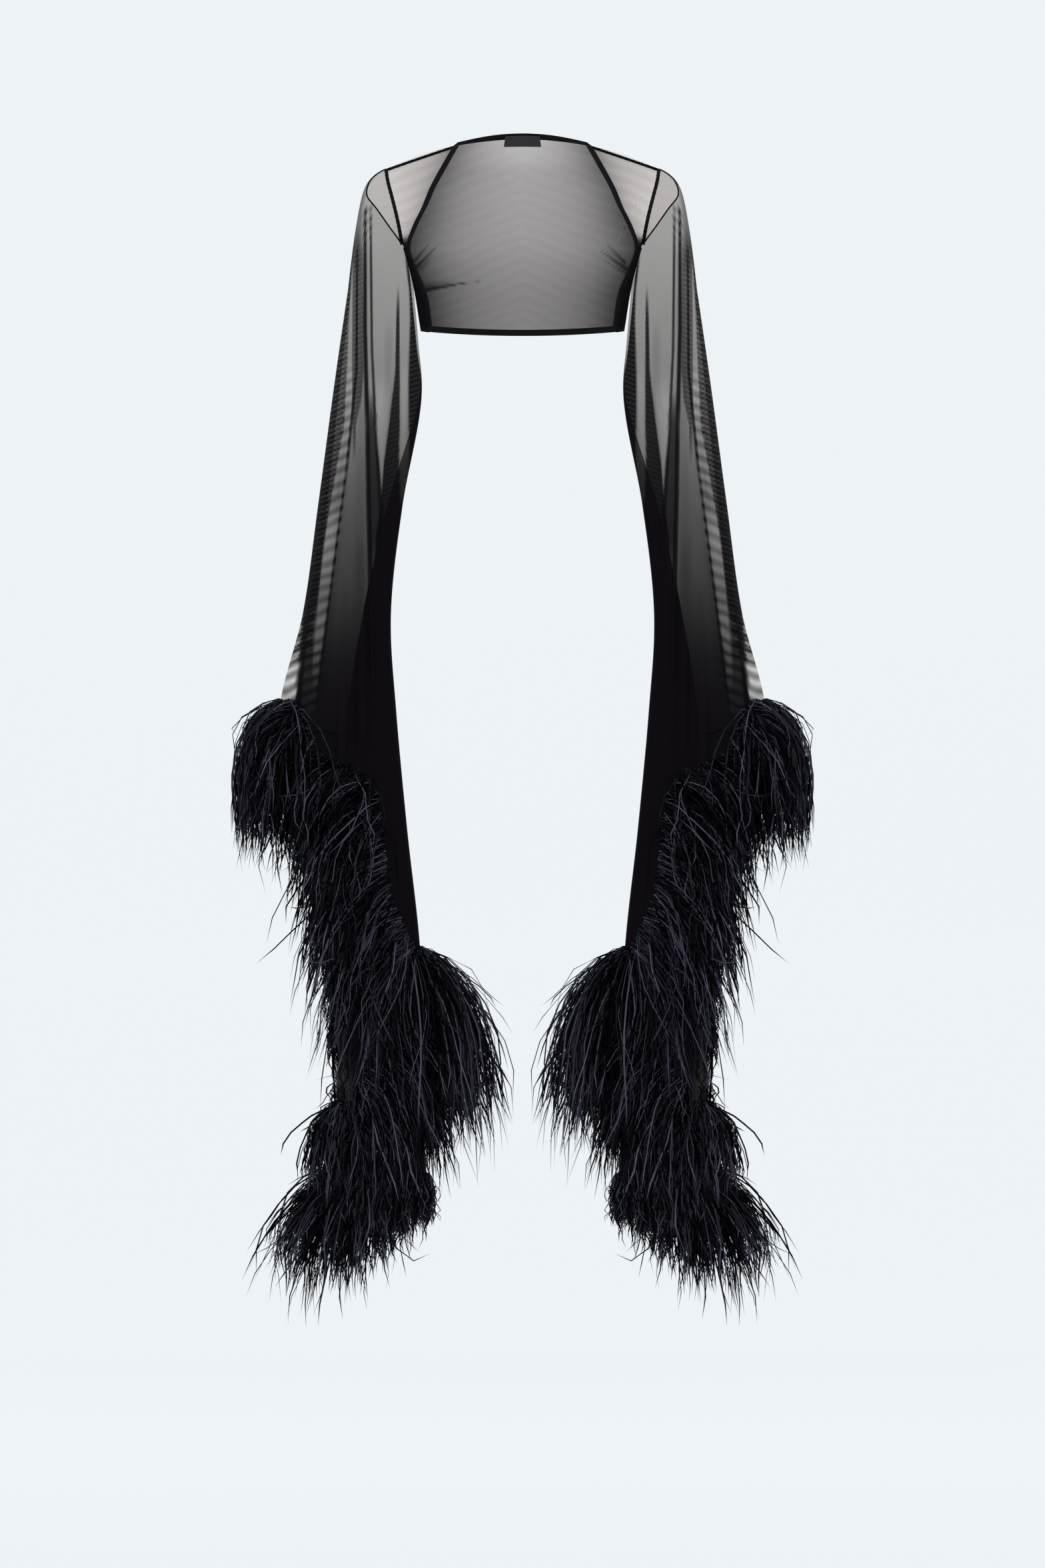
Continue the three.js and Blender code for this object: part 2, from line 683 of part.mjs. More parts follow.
// The hem from one front strip, round the back, to the other.
function hemEdge() {
  const back = backShares().map((share) => {
    const point = backPoint(backRows[0], share);
    return { point, away: wayOut(point, backPoint(backRows[1], share)) };
  });
  const [above, last] = frontRows.slice(-2);
  const right = [0.5, 0].map((share) => {
    const point = frontPoint(last, share);
    return { point, away: wayOut(point, frontPoint(above, share)) };
  });
  const flip = (vector) => vector.clone().setX(-vector.x);
  const left = right.map(({ point, away }) => ({ point: flip(point), away: flip(away) })).reverse();
  return [...left, ...back, ...right];
}

// Two strips that meet at a corner share the way out there, so that their ends lie face to
// face. Each is an edge and the index of its end at the corner.
function mitre([first, firstEnd], [second, secondEnd]) {
  const [a, b] = [first.at(firstEnd), second.at(secondEnd)];
  const shared = a.away.clone().add(b.away).normalize();
  a.away = shared.clone();
  b.away = shared.clone();
  for (const [edge, end] of [[first, firstEnd], [second, secondEnd]]) {
    const corner = edge.at(end).point;
    const inwards = edge.at(end === 0 ? 1 : -2).point.clone().sub(corner).normalize();
    corner.addScaledVector(inwards, seamGap);
  }
}

// The bindings round the whole opening: neck, front edge and hem. The neck and hem strips
// meet a front binding at both ends, so their left corners repeat the right ones.
function bindingEdges() {
  const neck = neckEdge();
  const hem = hemEdge();
  const front = frontEdge();
  mitre([neck, -1], [front, 0]);
  mitre([hem, -1], [front, -1]);
  for (const edge of [neck, hem]) {
    edge[0].point = edge.at(-1).point.clone().setX(-edge.at(-1).point.x);
    edge[0].away = edge.at(-1).away.clone().setX(-edge.at(-1).away.x);
  }
  return { neck, hem, front };
}

// The bare label hangs from the neck binding, on the inner side of the back panel.
function labelGeometry() {
  const steps = 6;
  const top = backRows[backRows.length - 1];
  const below = backRows[backRows.length - 2];
  const grid = [];
  for (let k = 0; k <= steps; k += 1) {
    const share = lerp(-labelHalfShare, labelHalfShare, k / steps);
    const edge = backPoint(top, share);
    const away = wayOut(edge, backPoint(below, share));
    const off = new THREE.Vector3(0, -labelStandOff, 0);
    const down = [labelRise, 0, -labelDepth].map((rise) => (
      edge.clone().addScaledVector(away, rise).add(off)
    ));
    grid.push(down);
  }
  return wall(grid, labelThickness);
}

const net = { color: 0x232226, roughness: 0.75, metalness: 0 };
const bindingCloth = { color: 0x0d0d10, roughness: 0.7, metalness: 0 };
const labelCloth = { color: 0x1b1b20, roughness: 0.6, metalness: 0 };
const feather = { color: 0x0d0d15, roughness: 0.5, metalness: 0 };

// The same geometry on the other side of the garment.
function mirrored(geometry) {
  const other = geometry.clone();
  other.scale(-1, 1, 1);
  other.setIndex([...geometry.index.array].map((_, k, all) => all[k + [0, 1, -1][k % 3]]));
  return other;
}

const shrug = new THREE.Group();

function place(name, geometry, finish) {
  const material = new THREE.MeshStandardMaterial(finish);
  const mesh = new THREE.Mesh(geometry, material);
  mesh.name = name;
  shrug.add(mesh);
}

function placePair(name, geometry, finish) {
  place(`${name}_right`, geometry, finish);
  place(`${name}_left`, mirrored(geometry), finish);
}

const edges = bindingEdges();
place('back_panel', wall(backGrid(), netThickness), net);
place('neck_binding', bindingGeometry(edges.neck), bindingCloth);
place('hem_binding', bindingGeometry(edges.hem), bindingCloth);
place('neck_label', labelGeometry(), labelCloth);
placePair('front_panel', wall(frontGrid(), netThickness), net);
placePair('front_binding', bindingGeometry(edges.front), bindingCloth);
placePair('sleeve', wall(sleeveGrid, netThickness, true), net);
const hem = hemLine();
const placed = [];
for (const trim of trims) {
  placePair(`feather_${trim.name}`, trimGeometry(hem, trim, placed), feather);
}

export default shrug;
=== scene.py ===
import math

import bmesh
import bpy
import numpy as np
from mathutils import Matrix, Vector


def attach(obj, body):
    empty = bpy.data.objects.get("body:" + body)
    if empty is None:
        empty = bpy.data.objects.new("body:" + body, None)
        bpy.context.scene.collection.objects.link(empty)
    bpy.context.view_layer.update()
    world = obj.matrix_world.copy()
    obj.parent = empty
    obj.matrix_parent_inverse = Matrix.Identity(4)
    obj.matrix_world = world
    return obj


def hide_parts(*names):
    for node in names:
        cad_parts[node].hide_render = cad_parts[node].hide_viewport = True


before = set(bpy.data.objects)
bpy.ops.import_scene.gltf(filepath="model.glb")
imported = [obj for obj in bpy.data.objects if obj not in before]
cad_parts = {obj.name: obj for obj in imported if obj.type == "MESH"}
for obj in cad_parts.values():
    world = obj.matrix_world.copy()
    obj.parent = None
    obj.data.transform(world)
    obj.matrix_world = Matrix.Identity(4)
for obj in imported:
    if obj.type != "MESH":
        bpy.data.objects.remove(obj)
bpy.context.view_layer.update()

bl_info = {
    "name": "Feather Shrug",
    "version": (1, 0, 0),
    "blender": (4, 5, 0),
    "location": "View3D > Sidebar > Feather Shrug",
    "description": "A sheer net bolero with long flared sleeves edged with ostrich feather",
    "category": "Object",
}

# Lengths in the tables are millimetres, as on a paper pattern. MM turns them into metres.
# Across is the distance from the centre line and drop is the distance below the nape.
MM = 0.001


def table(names, *rows):
    """An array for each named column of a paper table. The first column is its key."""
    return dict(zip(names.split(), np.array(rows, float).T))


# The back panel in rows from the hem to the shoulders. half is the half width, side and
# centre give depth (Y) and height (Z) at the row's ends and middle, and turn is the share of
# the half width where the row has come forward to its side depth.
BACK_ROWS = table(
    "row half side_y side_z centre_y centre_z turn",
    (0, 142, -88, -266, 14, -271, 1),
    (1, 149, -85, -222, 24, -226, 1),
    (2, 157, -82, -186, 31, -186, 1),
    (3, 166, -78, -155, 35, -150, 1),
    (4, 186, -66, -126, 36, -118, 1),
    (5, 203, -54, -102, 33, -88, 0.97),
    (6, 216, -48, -84, 25, -60, 0.9),
    (7, 213, -50, -66, 14, -34, 0.76),
    (8, 203, -55, -55, 4, -18, 0.6),
    (9, 190, -62, -47.4, -2, -4, 0.5),
)
BACK_TOP = BACK_ROWS["row"][-1]
BACK_ROUNDNESS = 2.2
NECK_SHARE = 0.5
UNDERARM_BACK_ROW = 3

# The front panel in rows from the shoulder seam to the hem. outer is the armhole and side
# seam edge, inner is the front edge, and belly and arch swell the row between them.
FRONT_ROWS = table(
    "row outer_x outer_y outer_z inner_x inner_y inner_z belly arch",
    (0, 190, -62, -47.4, 95, -62, -15, 0, 0.3),
    (1, 189, -69, -51, 98, -72, -19.5, 1, 1.5),
    (2, 186.5, -80, -66, 112, -91, -44, 3, 2),
    (3, 180.5, -88, -89, 128, -108, -74, 4, 0),
    (4, 174, -91, -115, 139, -115, -101, 3, 0),
    (5, 169.5, -87, -136, 153, -109, -130, 2, 0),
    (6, 166, -78, -155, 160, -96, -156, 1, 0),
    (7, 157, -82, -186, 151, -99, -187, 1, 0),
    (8, 149, -85, -222, 138, -103, -223, 1, 0),
    (9, 142, -88, -266, 131, -106, -268, 1, 0),
)
FRONT_LOW = FRONT_ROWS["row"][-1]
UNDERARM_FRONT_ROW = 6
SHOULDER_GAP = 0.7
SIDE_GAP = 1.0

# The sleeve in sections from the upper arm down. outer and inner are its edges across, heel
# is the inner edge of its back layer, groove is how far out the fold between them reaches,
# front and back are its depths, and pleat goes from 0, round, to 1, laid in layers.
SLEEVE_ROWS = table(
    "drop outer inner heel groove front back pleat",
    (215, 243, 151.5, 151.5, 190, -120, -30, 0),
    (290, 254, 143, 145, 195, -125, -26, 0.05),
    (368, 265, 134.5, 138, 200, -128, -24, 0.15),
    (517, 285, 163, 164, 220, -132, -24, 0.45),
    (666, 306, 181, 182, 236, -136, -28, 0.75),
    (801, 339, 175.5, 176.5, 244, -142, -30, 1),
    (963, 340, 160.5, 164, 248, -146, -28, 1),
    (1150, 338, 141, 150, 252, -150, -26, 1),
    (1461, 333, 133, 133, 264, -154, -20, 1),
)
UPPER_ARM_DROP = 215
OUTER_FOLD_RADIUS = 22
GROOVE_FRONT_SHARE, GROOVE_BACK_SHARE = 0.3, 0.65
SQUARENESS = 0.75
# The cap, from the armhole to the upper arm.
CAP_SWELL = 5.5
CAP_BEND_ACROSS, CAP_BEND_DEPTH, CAP_BEND_FALL = (0.7, 0.85), 0.45, (0.08, 0.5)
ARMHOLE_GAPS = (1.2, 1.6)
ARMHOLE_POINTS = 60

# Where each layer of the sleeve is cut off, from one fold to the next.
OUTER_HEM, INNER_HEM, GROOVE_HEM, HEEL_HEM = 801, 1145, 1361, 1461
FRONT_HEM = table(
    "share drop",
    (0, OUTER_HEM), (0.1, 838), (0.2, 868), (0.36, 884), (0.54, 892), (0.68, 900), (0.76, 922),
    (0.785, 980), (0.8, 1040), (0.85, 1082), (0.93, 1114), (1, INNER_HEM),
)
BACK_HEM = table(
    "share drop",
    (0, HEEL_HEM), (0.16, 1470), (0.33, 1472), (0.5, 1466), (0.61, 1446), (0.64, 1380),
    (0.655, 1300), (0.67, 1200), (0.73, 1080), (0.8, 1000), (0.9, 892), (1, OUTER_HEM),
)

# The layers and folds of the sleeve in order: the angles where each begins and ends, how
# many strands it is drawn with, and its hem, as a table or from one drop to another.
LAYERS = [
    ("outer_fold", 150, 210, 12, (OUTER_HEM, OUTER_HEM)),
    ("front", 210, 322, 150, FRONT_HEM),
    ("inner_fold", 322, 334, 10, (INNER_HEM, INNER_HEM)),
    ("groove_front", 334, 352, 14, (INNER_HEM, GROOVE_HEM)),
    ("groove_fold", 352, 368, 10, (GROOVE_HEM, GROOVE_HEM)),
    ("groove_back", 368, 386, 14, (GROOVE_HEM, HEEL_HEM)),
    ("heel_fold", 386, 398, 10, (HEEL_HEM, HEEL_HEM)),
    ("back", 398, 510, 80, BACK_HEM),
]
# A layer with a hem table has more strands where the hem falls steeply.
STRAND_PULL_ACROSS, STRAND_PULL_DOWN = 150, 0.35
CAP_RINGS, SLEEVE_RINGS = 14, 84

# How dense the sleeve's net looks in one layer, by drop: the cloth crowds together lower
# down. Density is the optical depth, so a layer hides 1 - exp(-density) of what is behind.
SLEEVE_DENSITY = table(
    "drop density",
    (50, 0.47), (120, 0.5), (200, 0.58), (300, 0.68), (405, 0.84), (517, 1.2), (629, 1.6),
    (685, 2.0), (740, 2.6), (850, 3.4), (1480, 3.8),
)
LEAST_DENSITY = 0.15

# The sleeve's creases, as they hang: the layer, three places given by drop and distance
# across, the half widths at the top and the end, how far it stands proud, and what it adds
# to the density and to the weight of the net's ripple bars.
SLEEVE_CREASES = [
    ("front", [(80, 219), (271, 219), (405, 216)], (1.8, 2.8), 3, 3.6, 0),
    ("front", [(400, 216), (505, 214.5), (760, 208)], (2.8, 3.2), 4, 3.0, 0),
    ("front", [(100, 211.6), (300, 209.5), (436, 203)], (1.6, 1.8), 2, 2.4, 0),
    ("front", [(430, 203), (532, 196), (600, 194)], (1.9, 3.5), 3, 2.6, 0),
    ("front", [(150, 230), (330, 231), (470, 245)], (1.3, 2.2), 2, 2.2, 0.2),
    ("front", [(460, 244), (614, 264), (800, 287)], (2.0, 1.6), 3, 1.4, 0.2),
    ("front", [(600, 294), (720, 308), (850, 319)], (2.5, 6.0), 4, 2.4, 0.2),
    ("front", [(560, 226), (700, 224), (860, 222)], (5, 9), 6, 0.2, 0),
    ("front", [(620, 246), (740, 250), (880, 252)], (4, 8), 5, 0.15, 0),
    ("front", [(700, 181), (850, 176), (1050, 166)], (4, 7), 5, 0.2, 0),
    ("back", [(150, 216), (500, 226), (900, 238)], (6, 10), 8, 0.2, 0),
    ("back", [(260, 186), (640, 190), (1100, 196)], (5, 9), 7, 0.2, 0),
    ("back", [(330, 240), (560, 258), (820, 286)], (5, 9), 6, 0.2, 0.1),
    ("back", [(700, 210), (1000, 214), (1380, 222)], (6, 10), 8, 0.2, 0),
    ("back", [(760, 262), (1000, 272), (1300, 276)], (6, 9), 7, 0.2, 0),
    ("back", [(900, 172), (1150, 168), (1440, 176)], (5, 9), 6, 0.2, 0),
]
CREASE_FADE, CREASE_START, BAND_FADE = 40, 0.3, 60
# The bare patch low on the sleeve, where the net shows paler between the feathers.
BARE_PATCH = dict(top=1235, bottom=1400, across=236, fade_in=60, fade_out=40, soft=14,
                  density=1.3)

# Wide bands of the sleeve's front, between an inner and an outer edge given by drop and
# distance across: what each adds to the density and to the weights of the net's ripple bars
# and its finer shimmer, and how soft its edges are.
SLEEVE_BANDS = [
    # the rim of the cap, where the cloth turns away
    ([(20, 150), (42, 196), (60, 208), (75, 218), (95, 222), (150, 226)],
     [(20, 250), (150, 250)],
     0.9, 0, 0, 8),
    # the crowded outer edge
    ([(110, 235), (405, 248), (505, 266), (573, 277), (628, 283), (700, 292)],
     [(110, 290), (405, 300), (505, 310), (573, 330), (628, 340), (700, 340)],
     1.25, 0.25, 1.0, 3),
    # the paler pleat inside it
    ([(300, 234), (436, 241), (559, 254), (736, 283)],
     [(300, 240), (436, 255), (559, 275), (736, 292)],
     -0.3, 1.0, 0.1, 2),
    ([(500, 252), (600, 264), (736, 283)],
     [(500, 266), (600, 280), (736, 292)],
     -0.7, 0, 0, 3),
    # the flare at the hem's outer corner
    ([(620, 302), (700, 308), (800, 316)],
     [(620, 330), (700, 345), (800, 360)],
     -2.3, 0.9, 0, 4),
    ([(640, 268), (700, 276), (790, 288)],
     [(640, 292), (700, 300), (790, 308)],
     -0.9, 0.9, 0, 4),
    # the grainy wedge between the pleat and the main crease
    ([(120, 222), (330, 221), (368, 224), (405, 232)],
     [(120, 236), (330, 237), (368, 237), (405, 236)],
     1.25, 0, 0.5, 2),
    # between the two main creases, closing downward
    ([(350, 208), (405, 205), (461, 200), (560, 196)],
     [(350, 216), (405, 216), (461, 215), (560, 213)],
     1.9, 0, 0, 3),
    # the dark wedge that opens from the elbow
    ([(205, 171.5), (331, 171), (405, 171), (450, 172), (512, 170), (600, 158), (700, 120),
      (1100, 120)],
     [(205, 174), (257, 175.5), (331, 177), (405, 185.5), (461, 193), (517, 197), (560, 204),
      (684, 206), (760, 203), (1100, 196)],
     2.8, 0, 0.3, 1.6),
    # the two paler gussets beside it
    ([(320, 181), (405, 188), (450, 193), (500, 195)],
     [(320, 205), (405, 203), (450, 200), (500, 196)],
     -0.35, 0, 0, 3),
    ([(300, 160), (405, 162), (470, 164)],
     [(300, 168), (405, 169), (470, 170)],
     -0.2, 0, 0, 3),
    # the doubled strip at the body side
    ([(140, 100), (380, 100), (450, 100)],
     [(140, 165), (170, 163), (219, 157), (257, 156), (331, 158), (405, 158), (450, 157)],
     3.2, 0, 0.6, 4),
]
BANDED_LAYERS = ("outer_fold", "front", "inner_fold")

# Creases of the back panel, drawn in by the underarms: from one place to another by signed
# distance across and drop, the half width, how far it stands proud, and its density. The narrow
# ones are dark lines of gathered cloth, and the wide, faint ones beside them are painted soft
# shadows. Each narrows and fades on its way.
BACK_CREASES_AND_SHADOWS = [
    ((-151, 187), (-120, 155), 1.6, 4, 2.4),
    ((-150, 176), (-130, 150), 1.4, 3, 1.6),
    ((-146, 190), (-126, 166), 5, 3, 0.6),
    ((-136, 217), (-76, 204), 1.7, 5, 2.4),
    ((-132, 213), (-56, 202), 1.3, 3, 1.0),
    ((-140, 211), (-84, 205), 5, 2, 0.55),
    ((142, 177), (118, 152), 1.4, 4, 2.2),
    ((146, 188), (108, 160), 1.6, 4, 2.2),
    ((148, 196), (114, 175), 1.3, 3, 1.2),
    ((148, 186), (118, 162), 6, 2, 0.45),
]
BACK_CREASE_START, BACK_CREASE_LOSS = 1.3, 0.6
BACK_COLUMNS, BACK_LINES = 200, 110
FRONT_COLUMNS, FRONT_LINES = 26, 72

# Density of the back panel down its middle, and a painted shade that grows toward the front edges
# and lower down, where the body's shadow falls inside them. Beyond them it shows through the
# yokes, where it is kept thin as a painted lighter zone for the lit yokes.
BACK_DENSITY = table(
    "drop density",
    (0, 0.5), (29, 0.64), (52, 0.84), (99, 0.94), (145, 1.04), (192, 1.25), (230, 1.37),
    (290, 1.42),
)
# Painted shade inside the front edges: its density at the top and low down, the drop where it
# starts to grow and over how far, and how far in from the edge it reaches.
PAINTED_EDGE_SHADE = dict(top=1.35, low=2.0, top_drop=70, over=80, reach=35)
# Under the yokes the back panel's density (back, back_edge) is kept low: a painted lighter zone
# where the lit yokes lie over it, darker again toward the front edge.
YOKE = dict(back=0.25, back_edge=0.6, reach=14, edge_soft=4, front=0.24, neck=0.5, neck_row=5,
            shoulder=1.4, shoulder_row=1.4, side=3.2, side_row=5.2, side_drop=140, side_over=20)
BACK_RIPPLE, FRONT_RIPPLE = 0.05, 0.12
# The density at which a layer is taken to hide nothing.
CLEAR_DENSITY = 0.05
# The yoke falls in faint slanting drapes from the shoulder to the underarm.
DRAPE = dict(depth=0.9, across=17, down=1.1, fade_in=1.5, end_row=5.5, fade_out=2)

# Bindings, seams, stitches and the label.
BINDING_WIDTH, BINDING_LAP, BINDING_THICKNESS = 8, 0.8, 2.0
STITCH_LENGTH, STITCH_WIDTH, STITCH_PITCH, STITCH_INSET = 2.1, 0.55, 3.1, 1.6
SEAM_SIDES = 8
LABEL_HALF, LABEL_TOP, LABEL_DEPTH, LABEL_THICKNESS, LABEL_STAND_OFF = 24.7, 4.5, 12, 0.9, 2.8

# The feather trim along the sleeve hem, in four stretches: the folds where each starts and
# ends, and its numbers of plumes and barbs. At each place along a stretch, from 0 to 1: the
# feathers' length, how far they spring out of the cloth (0 carries on down the cloth and 1
# leaves it square), how soon they bend down, their lean along the hem, how much they follow
# the cloth sideways, how little they spring upwards, and how thickly they are set.
TRIM_COLUMNS = "at length spread droop lean side fall amount"
TRIMS = [
    ("front", "outer", "inner", 92, 2900, table(
        TRIM_COLUMNS,
        (0, 262, 0.62, 1.3, -0.1, 0.95, 0.2, 1.5),
        (0.12, 235, 0.5, 1.35, -0.35, 1, 0.1, 1.2),
        (0.3, 205, 0.5, 1.25, -0.35, 1, 0, 1),
        (0.45, 205, 0.5, 1.15, -0.15, 0.85, 0.05, 1.1),
        (0.6, 225, 0.3, 1.2, 0, 0.85, 0.15, 1.2),
        (0.85, 250, 0.3, 1.35, 0, 1, 0.3, 1.2),
        (1, 270, 0.6, 1.25, 0.1, 1, 0.4, 1.3),
    )),
    ("inner_fold", "inner", "groove", 84, 2900, table(
        TRIM_COLUMNS,
        (0, 330, 0.62, 1.1, -0.25, 1, 0.45, 2.6),
        (0.08, 320, 0.55, 1.15, -0.3, 1, 0.45, 2.2),
        (0.2, 290, 0.5, 1.2, -0.3, 0.9, 0.4, 1.9),
        (0.35, 275, 0.5, 1.25, -0.35, 0.85, 0.4, 2.3),
        (0.6, 235, 0.45, 1.3, -0.2, 0.85, 0.35, 1.6),
        (0.9, 140, 0.5, 1.3, 0.3, 0.9, 0.1, 1),
        (1, 110, 0.6, 1.35, 0.2, 0.9, 0.25, 1),
    )),
    ("lower_fold", "groove", "heel", 56, 1900, table(
        TRIM_COLUMNS,
        (0, 135, 0.5, 1.3, 0, 1, 0.2, 1),
        (0.5, 130, 0.25, 1.4, -0.1, 0.6, 0.4, 1),
        (1, 62, 0.05, 1.3, -0.3, 0.1, 1.3, 0.5),
    )),
    ("back", "heel", "outer", 84, 2700, table(
        TRIM_COLUMNS,
        (0, 62, 0.05, 1.3, 0.5, 0.1, 1.3, 1.5),
        (0.06, 110, 0.1, 1.2, 0.4, 0.3, 1.0, 3),
        (0.12, 180, 0.15, 1.05, 0.4, 0.8, 0.8, 4),
        (0.16, 225, 0.15, 1.0, 0.35, 0.75, 0.7, 4),
        (0.18, 225, 0.25, 1.0, 0.2, 0.6, 0.4, 3),
        (0.2, 120, 0.6, 1.3, -0.4, 0.3, 0.3, 0.6),
        (0.22, 70, 0.9, 1.5, -0.4, -0.5, 0.2, 0.15),
        (0.38, 80, 0.9, 1.5, -0.4, -0.4, 0.2, 0.2),
        (0.6, 110, 0.9, 1.5, -0.3, -0.2, 0.2, 0.7),
        (0.85, 175, 0.7, 1.4, 0, 0.5, 0.3, 1),
        (1, 250, 0.6, 1.3, 0.1, 0.95, 0.2, 1.4),
    )),
]
# How plumes and barbs differ, as ranges of lengths or of factors on the usual, and how far
# stray barbs differ instead.
VARY = dict(
    place=(0.1, 0.9), spread=(0.75, 1.25), reach=(0.7, 1.04), droop=(0.85, 1.2),
    root=(-16, 5), fan=(1, 5), ceiling=(-0.2, 0.25),
    length=(0.35, 1.06), stray_length=(0.3, 0.9), sag=(0.85, 1.15), stray_sag=(0.75, 1.0),
    pull=(0.15, 0.6), turns=(1.1, 2.0), start=(0, 2 * math.pi), wave=(2.0, 6.0),
    tone=(0, 0.1), width=(0.6, 1.3),
)
LEAN_SPREAD, ROOT_SPREAD, SCATTER, CURL = 0.24, 4.0, 0.28, 0.34
STRAY_SCATTER, STRAY_CURL, STRAY_CEILING, STRAY_WIDTH = 0.5, 1.8, 0.3, 0.7
# How scatter and waves share out on the axes, and how pull and waves grow along a barb.
SCATTER_AXES, WAVE_AXES, PULL_GROWS, WAVE_GROWS = (1, 0.75, 1), (1, 1, 0.3), 1.6, 0.5
# The feathers keep within these bounds of depth and distance across: they are brushed in.
BRUSHED = dict(front=-244, back=40, inner=10, outer=406, loose=28)
FLAT_FAN = 0.4
# A barb's width along its length, and how flat it is.
BARB_TAPER, BARB_FLATNESS = ((0, 0.25, 0.84, 1), (0.75, 1, 0.85, 0.0)), 0.55
BACKING_GAP, BACKING_WIDTH, BACKING_THICKNESS, BACKING_RINGS = 0.3, 3.0, 1.4, 160


def smooth_curve(rows, at, name):
    """A smooth curve through one column of a table, read at values of its key column."""
    keys, values, at = next(iter(rows.values())), rows[name], np.asarray(at, float)
    i = np.clip(np.searchsorted(keys, at, side="right") - 1, 0, len(keys) - 2)
    before, after = np.maximum(i - 1, 0), np.minimum(i + 2, len(keys) - 1)
    span = keys[i + 1] - keys[i]
    t = np.clip((at - keys[i]) / span, 0, 1)
    slope_a = (values[i + 1] - values[before]) / (keys[i + 1] - keys[before]) * span
    slope_b = (values[after] - values[i]) / (keys[after] - keys[i]) * span
    return ((2 * t**3 - 3 * t**2 + 1) * values[i] + (t**3 - 2 * t**2 + t) * slope_a
            + (3 * t**2 - 2 * t**3) * values[i + 1] + (t**3 - t**2) * slope_b)


def read(rows, at):
    """Every column of a table at values of its key column."""
    return {name: smooth_curve(rows, at, name) for name in rows}


def blend(a, b, share):
    return a + (b - a) * share


def smooth_step(value):
    value = np.clip(value, 0, 1)
    return value * value * (3 - 2 * value)


def eased(at, start, over):
    """Goes smoothly from 0 at the start to 1, over the given distance."""
    return smooth_step((at - start) / over)


def unit(vectors):
    length = np.linalg.norm(vectors, axis=-1, keepdims=True)
    return vectors / np.maximum(length, 1e-9)


def lengths(points):
    """The length reached at each point of a line."""
    steps = np.linalg.norm(np.diff(points, axis=0), axis=1)
    return np.concatenate([[0], np.cumsum(steps)])


def walk(points, reached, at):
    """The points of a line at the given lengths."""
    return np.stack([np.interp(at, reached, points[:, k]) for k in range(3)], -1)


def resample(points, shares):
    """Points at shares of a line's length."""
    reached = lengths(points)
    return walk(points, reached, shares * reached[-1])


def back_point(share, row):
    """Points of the back panel: share goes from -1 at the left to 1 at the right."""
    share, row = np.broadcast_arrays(np.asarray(share, float), np.asarray(row, float))
    cut = read(BACK_ROWS, row)
    bent = np.minimum(1, np.abs(share) / cut["turn"]) ** BACK_ROUNDNESS
    return np.stack([
        cut["half"] * share,
        blend(cut["centre_y"], cut["side_y"], bent),
        blend(cut["centre_z"], cut["side_z"], share**2),
    ], -1)


def front_point(share, row):
    """Points of the right front: share goes from 0 at the front edge to 1 at the armhole."""
    share, row = np.broadcast_arrays(np.asarray(share, float), np.asarray(row, float))
    cut = read(FRONT_ROWS, row)
    swell = 4 * share * (1 - share)
    gap = blend(SIDE_GAP * share, SHOULDER_GAP, np.clip(1 - row, 0, 1))
    x, y, z = (blend(cut[f"inner_{axis}"], cut[f"outer_{axis}"], share) for axis in "xyz")
    return np.stack([x, y - cut["belly"] * swell - gap, z + cut["arch"] * swell], -1)


def armhole_point(angles):
    """The armhole by the angle round the sleeve: 180 at the shoulder and 0 underarm."""
    angles = np.asarray(angles, float) % 360
    rows = np.linspace(0, UNDERARM_FRONT_ROW, ARMHOLE_POINTS)
    outer = [smooth_curve(FRONT_ROWS, rows, f"outer_{axis}") for axis in "xyz"]
    rows = np.linspace(BACK_TOP, UNDERARM_BACK_ROW, ARMHOLE_POINTS)
    behind = [smooth_curve(BACK_ROWS, rows, name) for name in ("half", "side_y", "side_z")]
    in_front = resample(np.stack(outer, -1), (angles - 180) / 180)
    at_back = resample(np.stack(behind, -1), (180 - angles) / 180)
    points = np.where((angles >= 180)[:, None], in_front, at_back)
    low = np.maximum(0, np.cos(np.radians(angles))) ** 2
    points[:, 0] += blend(*ARMHOLE_GAPS, low)
    return points


def layered_plan(layer, share, cut):
    """The sleeve laid in layers, seen from above: across and depth."""
    front, back = cut["front"], cut["back"]
    groove_front = blend(front, back, GROOVE_FRONT_SHARE)
    groove_back = blend(front, back, GROOVE_BACK_SHARE)
    inner_r = (groove_front - front) / 2
    groove_r = (groove_back - groove_front) / 2
    heel_r = (back - groove_back) / 2
    outer_end = cut["outer"] - OUTER_FOLD_RADIUS
    inner_x, heel_x = cut["inner"] + inner_r, cut["heel"] + heel_r
    groove_x = cut["groove"] - groove_r
    swing = np.radians(blend(-90, 90, share))
    if layer == "front":
        return blend(outer_end, inner_x, share), front
    if layer == "inner_fold":
        return inner_x - inner_r * np.cos(swing), front + inner_r * (1 + np.sin(swing))
    if layer == "groove_front":
        return blend(inner_x, groove_x, share), groove_front
    if layer == "groove_fold":
        return groove_x + groove_r * np.cos(swing), groove_front + groove_r * (1 + np.sin(swing))
    if layer == "groove_back":
        return blend(groove_x, heel_x, share), groove_back
    if layer == "heel_fold":
        return heel_x - heel_r * np.cos(swing), groove_back + heel_r * (1 + np.sin(swing))
    if layer == "back":
        return blend(heel_x, outer_end, share), back
    middle, rise = (front + back) / 2, (back - front) / 2
    return outer_end + OUTER_FOLD_RADIUS * np.cos(swing), middle - rise * np.sin(swing)


def round_plan(angle, cut):
    """The sleeve as a plain rounded tube, seen from above."""
    turn = np.radians(angle)
    cosine, sine = np.cos(turn), np.sin(turn)
    middle, reach = (cut["outer"] + cut["inner"]) / 2, (cut["outer"] - cut["inner"]) / 2
    depth, rise = (cut["front"] + cut["back"]) / 2, (cut["back"] - cut["front"]) / 2
    return (middle - reach * np.sign(cosine) * np.abs(cosine) ** SQUARENESS,
            depth + rise * np.sign(sine) * np.abs(sine) ** SQUARENESS)


